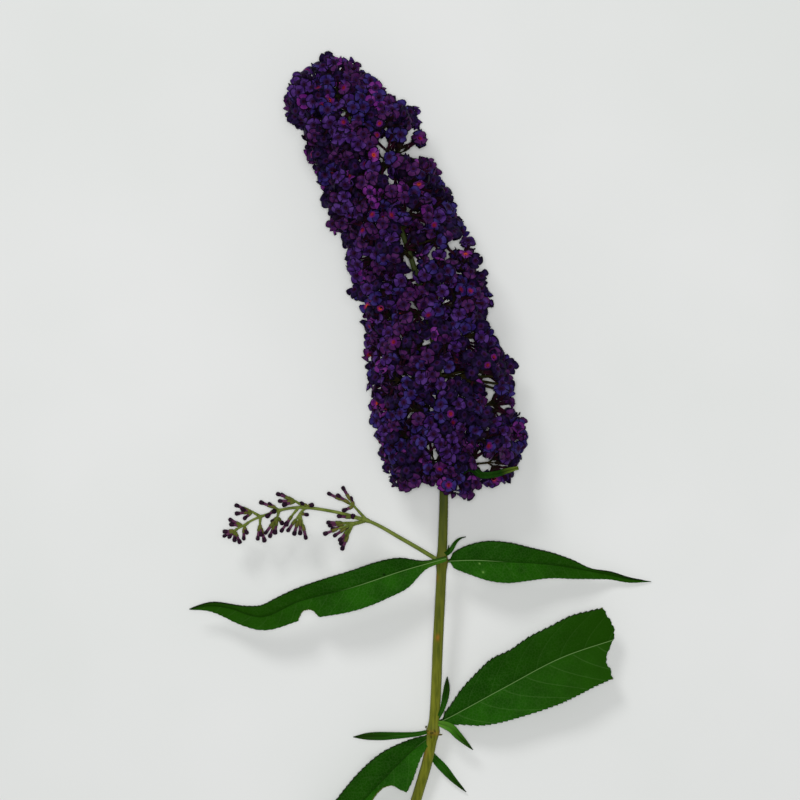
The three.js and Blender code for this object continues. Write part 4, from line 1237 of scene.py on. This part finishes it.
PETALS = [
    # name, its two colours, and its share of the florets
    ("night", ("#0C021C", "#1E1238"), 0.27),
    ("indigo", ("#1E0E4C", "#382E6C"), 0.19),
    ("violet", ("#2E0E50", "#4C2E70"), 0.28),
    ("plum", ("#340A3C", "#4C2456"), 0.20),
    ("magenta", ("#520E60", "#72307E"), 0.06),
]
EYES = [
    # name, the two colours of the eye and of the flush round it, and its share of the florets
    ("orange", ("#A8341C", "#B84A2A"), ("#6A1A56", "#862864"), 0.022),
    ("crimson", ("#68122C", "#7A1E34"), ("#4C1056", "#601A62"), 0.10),
    ("dusky", ("#1E0620", "#2E0A2A"), ("#200C34", "#301446"), 0.878),
]
FACE_TILT = 46  # degrees that a face may tilt from its tube
SKYWARD = 0.8  # how much the faces at the sides turn up to the light
OWN_COLOUR = 0.45  # share of florets that differ from the rest of their finger
WARM_MAGENTA = 0.6  # share of the florets with an orange eye that are of the last colour
CLOSED = 0.07  # share of florets that are still closed
SIZES = (0.9, 1.1)
TUBE_WIDTH = 0.95

# %% The florets
cluster_nodes = sorted(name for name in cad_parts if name.startswith("flower_cluster"))
count = len(faces)
ways = unit(faces - roots)
tilted = unit(ways + rng.normal(0, math.tan(math.radians(FACE_TILT)) / 2, (count, 3)))
tilted = unit(tilted + UP * SKYWARD * np.clip(1 - np.abs(ways[:, 2:]), 0, 1))
resting = faces[:, 2] <= FLOOR_REST * MM * 1.01
tilted[resting] = unit(tilted[resting] * [0.5, 0.5, 0] - UP)  # the faces on the sheet look down
spins = rng.uniform(0, 2 * math.pi, count)
sizes = rng.uniform(*SIZES, count)
kinds = rng.integers(0, FACE_KINDS, count)
eyes = rng.choice(len(EYES), size=count, p=[e[3] for e in EYES])
spray_colours = rng.choice(len(PETALS), size=sprays.max() + 1, p=[p[2] for p in PETALS])
colours = spray_colours[sprays]
apart = rng.random(count) < OWN_COLOUR
colours[apart] = rng.choice(len(PETALS), size=apart.sum(), p=[p[2] for p in PETALS])
colours[(eyes == 0) & (rng.random(count) < WARM_MAGENTA)] = len(PETALS) - 1
closed = rng.random(count) < CLOSED
origins, axes = stood(faces, tilted, spins, sizes, sizes)


def some(chosen):
    """The frames of some of the open florets' faces."""
    return origins[chosen & ~closed], axes[chosen & ~closed]


def by_kind(part, chosen):
    """One part of the chosen florets' faces, each of its own kind: 0 is the flush, 1 the lobes and 2 the
    rim, which carries painted shade."""
    return [(FACE_SHAPES[kind][part], some(chosen & (kinds == kind))) for kind in range(FACE_KINDS)]


def spike_piece(name, batches, slot, finish):
    """One piece of the spike, which stands for all its clusters."""
    hand_over(joined("spike_" + name, batches), slot, cluster_nodes, finish)


for number, (name, hexes, _) in enumerate(PETALS):
    spike_piece("petals_" + name, by_kind(1, colours == number), "petal", soft_tissue(name + "_petal", hexes))
for number, (name, eye_hexes, flush_hexes, _) in enumerate(EYES):
    chosen = eyes == number
    spike_piece("flush_" + name, by_kind(0, chosen), "petal", soft_tissue(name + "_flush", flush_hexes))
    spike_piece("eyes_" + name, [(EYE_SHAPE, some(chosen))], "throat", soft_tissue(name + "_eye", eye_hexes))
tubes = stood(faces, ways, spins, TUBE_WIDTH, lengths / (TUBE * MM))
furled = origins[closed], stood(faces, ways, spins, sizes, sizes)[1][closed]
OTHER_PIECES = [
    # name, its copies, its slot, and its finish with two colours
    # the deep red of older throats, with painted shade laid down their funnels
    ("throats", [(THROAT_SHAPE, some(eyes == 2))], "throat", "old_throat_in_painted_shade", ("#14040E", "#200814")),
    ("warm_throats", [(THROAT_SHAPE, some(eyes < 2))], "throat", "warm_throat", ("#6A1810", "#7C2414")),
    # painted shade: the lobes' edges and the creases between them, laid in near black
    ("painted_shade_rims", by_kind(2, eyes >= 0), "petal", "painted_shade_rim", ("#020006", "#140822")),
    ("furled_buds", [(FURLED_SHAPE, furled)], "bud", "furled_lobes", ("#10061A", "#1E0C28")),
    # painted shade: the tubes' own plum, laid far darker because they stand deep inside the spike
    ("tubes", [(TUBE_SHAPE, tubes)], "flower_tube", "plum_tube_in_painted_shade", ("#140410", "#300C1E")),
    # painted shade: the cups' own green, laid near black because they stand deep inside the spike
    ("calyces", [(CALYX_SHAPE, tubes)], "calyx", "green_cup_in_painted_shade", ("#121206", "#1E100E")),
]
for name, batches, slot, finish, hexes in OTHER_PIECES:
    spike_piece(name, batches, slot, soft_tissue(finish, hexes))

# %% The twigs
TWIG_PARTS = 3  # straight parts of a bowed twig
TWIG_BOW = 0.15  # how far its middle is off the straight line, as a share of its length
TWIG_TAPER = 0.1  # by how much each part is thinner than the last
TWIG_OVERLAP = 1.04  # so that the parts of a twig reach into each other


def twig_frames(twigs):
    """Frames for the short straight parts of twigs that leave along one way and bow to their end."""
    starts, ends, radii = [], [], []
    for root, end, way, radius in twigs:
        bow = np.cross(way, unit(end - root)) * TWIG_BOW * np.linalg.norm(end - root)
        shares = np.linspace(0, 1, TWIG_PARTS + 1)[:, None]
        middle = (root + end) / 2 + bow
        points = root * (1 - shares) ** 2 + 2 * middle * shares * (1 - shares) + end * shares**2
        starts.extend(points[:-1])
        ends.extend(points[1:])
        radii.extend(radius * (1 - TWIG_TAPER * np.arange(TWIG_PARTS)) * MM)
    starts, ends = np.array(starts), np.array(ends)
    lengths = np.linalg.norm(ends - starts, axis=1)
    return stood(starts, unit(ends - starts), np.zeros(len(starts)), radii, lengths * TWIG_OVERLAP)


# painted shade: the twigs' own green, laid near black because they stand deep inside the spike
TWIG_IN_PAINTED_SHADE = soft_tissue("green_twig_in_painted_shade", ("#1C2006", "#2A200E"))
spike_piece("twigs", [(TWIG_SHAPE, twig_frames(spike_twigs))], "stem", TWIG_IN_PAINTED_SHADE)

# %% [markdown]
# ## The side spike's buds
# The side spike is weeks behind. Its clusters are short forks of closed buds, each a green cup, a thin
# mauve tube and a dark knob of furled lobes. They all lean towards the tip of the stalk. The buds are few
# enough to be placed one by one, so each cluster is written down as its fork and the place of each knob.

# %% Bud clusters
BUD_CLUSTERS = [
    # share of the stalk's length, the fork, its rise, and the knobs, all in mm
    (0.388, (-26.0, -8.0), 2.0, [(-30.3, -0.8), (-35.9, -3.0), (-32.4, -3.8), (-27.2, -4.9), (-29.9, -9.6)]),
    (0.388, (-26.6, -12.6), 1.6, [(-26.4, -11.9), (-32.0, -12.0)]),
    (0.388, (-25.9, -14.7), -2.0, [(-36.3, -14.7), (-35.7, -16.0), (-37.6, -19.2), (-33.7, -19.9),
                                    (-31.6, -21.6)]),
    (0.388, (-26.5, -15.7), -3.0, [(-28.8, -17.3), (-30.7, -25.1), (-31.2, -23.2), (-34.6, -17.4)]),
    (0.67, (-49.2, -6.2), 2.0, [(-56.3, -3.2), (-54.8, -3.5), (-55.6, -6.0), (-53.9, -7.5)]),
    (0.67, (-44.6, -8.0), 1.4, [(-47.0, -7.0), (-42.8, -7.6)]),
    (0.67, (-47.6, -11.0), -2.0, [(-52.4, -17.8), (-50.0, -19.2), (-47.6, -19.0), (-45.4, -20.8),
                                   (-45.0, -11.6)]),
    (0.70, (-50.6, -11.6), -1.0, [(-55.0, -17.9), (-53.2, -15.4)]),
    (0.79, (-57.2, -9.0), 2.0, [(-63.2, -6.6), (-59.8, -7.2), (-58.0, -10.2), (-60.6, -12.0)]),
    (0.79, (-56.8, -12.6), -2.0, [(-59.8, -20.2), (-57.8, -18.8), (-58.7, -14.4), (-55.0, -15.1),
                                   (-61.4, -18.8)]),
    (0.88, (-66.8, -10.4), 2.0, [(-73.0, -7.8), (-70.6, -9.3), (-73.0, -11.1), (-69.7, -12.9)]),
    (0.88, (-63.8, -15.2), -1.5, [(-64.7, -21.2), (-62.1, -22.0), (-63.4, -19.6)]),
    (0.94, (-70.2, -16.4), -1.0, [(-69.1, -18.8), (-70.4, -21.2), (-75.8, -13.8), (-75.4, -15.6)]),
    (1.0, (-74.0, -18.0), 0.0, [(-78.0, -18.4), (-78.0, -20.1), (-76.0, -20.5), (-74.0, -21.8),
                                 (-72.0, -22.6)]),
]
print(sum(len(knobs) for *_, knobs in BUD_CLUSTERS), "buds on", len(BUD_CLUSTERS), "forks")

# %% Shapes and places of the buds
BUD_LENGTH = 5.2  # mm of the shape, from the cup's foot to the middle of the knob
FORK_RADIUS, BUD_STALK_RADIUS = 0.7, 0.5
BUD_SHARE = 0.85  # of the way from the fork to its knob that a bud takes up at most
KNOB_STRAY = 1.2  # mm up or down
KNOB_SIZES = (0.85, 1.12)  # smallest and largest, as shares of the shape
KNOB_RINGS = [(0.62, -1.25), (0.8, -0.7), (0.95, 0.0), (0.84, 0.5), (0.45, 0.85)]
KNOB_PRESSED = [1.06, 0.94]  # furled lobes: how far out the lobes and the hollows between them stand
knob_corners, knob_faces = drawn_out(8, KNOB_RINGS, closed_top=True)
knob_corners[:, :2] *= np.tile(KNOB_PRESSED, len(knob_corners) // 2)[:, None]
BUD_TUBE_SHAPE = drawn_out(6, [(0.56, -BUD_LENGTH * 0.75), (0.62, -BUD_LENGTH * 0.4), (0.66, -0.9)])
BUD_CUP_RINGS = [(0.34, -BUD_LENGTH - 0.6), (0.7, -BUD_LENGTH + 0.3), (0.8, -BUD_LENGTH + 1.9)]
BUD_CUP_SHAPE = toothed_cup(BUD_CUP_RINGS, 0.6)


def place_buds():
    """Each bud's knob, its way and its length, and the twigs that carry them."""
    knobs, bud_ways, bud_lengths, twigs = [], [], [], []
    for share, fork_xy, rise, spots in BUD_CLUSTERS:
        root = side.at(share * side.length)
        fork = np.array([fork_xy[0] * MM, fork_xy[1] * MM, root[2] + rise / 2 * MM])
        twigs.append((root, fork, unit(fork - root), FORK_RADIUS))
        for x, y in spots:
            end = np.array([x * MM, y * MM, root[2] + rise * MM + rng.uniform(-KNOB_STRAY, KNOB_STRAY) * MM])
            way = unit(end - fork)
            length = min(BUD_LENGTH * MM, np.linalg.norm(end - fork) * BUD_SHARE)
            twigs.append((fork, end - way * length, way, BUD_STALK_RADIUS))
            knobs.append(end)
            bud_ways.append(way)
            bud_lengths.append(length)
    return np.array(knobs), np.array(bud_ways), np.array(bud_lengths), twigs


knobs, bud_ways, bud_lengths, bud_twigs = place_buds()
bud_nodes = sorted(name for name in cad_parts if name.startswith("bud_cluster"))
spins = rng.uniform(0, 2 * math.pi, len(knobs))
buds = stood(knobs, bud_ways, spins, 1.0, bud_lengths / (BUD_LENGTH * MM))
knobs_stood = stood(knobs, bud_ways, spins, rng.uniform(*KNOB_SIZES, len(knobs)))
FURLED_PETAL = soft_tissue("furled_petal", ("#1C0E1C", "#2C1628"))
MAUVE_TUBE = soft_tissue("mauve_tube", ("#4A2440", "#5E3450"))
GREEN_CUP = soft_tissue("green_cup", ("#4E5E20", "#64602C"))
BUD_PIECES = [
    # name, its shape and its copies, its slot and its finish
    ("knobs", (knob_corners, knob_faces), knobs_stood, "bud", FURLED_PETAL),
    ("tubes", BUD_TUBE_SHAPE, buds, "flower_tube", MAUVE_TUBE),
    ("cups", BUD_CUP_SHAPE, buds, "calyx", GREEN_CUP),
    ("twigs", TWIG_SHAPE, twig_frames(bud_twigs), "stem", PALE_STALK),
]
for name, shape, frames, slot, finish in BUD_PIECES:
    hand_over(joined("side_" + name, [(shape, frames)]), slot, bud_nodes, finish)

# %% [markdown]
# ## Scars at the lower node
# Where small shoots broke through the skin of the lower node they left brown, crumpled scales. They are
# beads of the same kind as the buds, pressed flat and turned at random.

# %% Scales at the node
SCALES = [
    # x, y and z in mm, and the length and width of each
    (3.7, -99.2, 10.6, 1.3, 0.8),
    (5.2, -99.9, 11.2, 1.2, 0.9),
    (6.4, -99.1, 10.9, 1.4, 0.8),
    (7.6, -100.1, 10.0, 1.3, 0.9),
    (8.4, -100.8, 9.4, 1.9, 0.6),
    (2.9, -97.6, 10.2, 1.0, 0.7),
    (5.0, -101.4, 10.7, 1.1, 0.7),
]
SCALE_RINGS = [(0.25, -0.6), (0.5, -0.35), (0.58, 0.0), (0.42, 0.4), (0.15, 0.62)]
SCALE_SHAPE = drawn_out(8, SCALE_RINGS, closed_foot=True, closed_top=True)
scale_values = np.array(SCALES)
scale_ways = unit(rng.normal(0, 1, (len(SCALES), 3)) * [1.0, 1.0, 0.4] + UP * 0.2)
scale_spins = rng.uniform(0, 6, len(SCALES))  # radians, nearly a full turn
scales = stood(scale_values[:, :3] * MM, scale_ways, scale_spins, scale_values[:, 4], scale_values[:, 3])
SCALE_BROWN = soft_tissue("dry_brown_scale", ("#3A3410", "#54501C"))
hand_over(joined("node_scales", [(SCALE_SHAPE, scales)]), "stem", ["main_stem"], SCALE_BROWN)
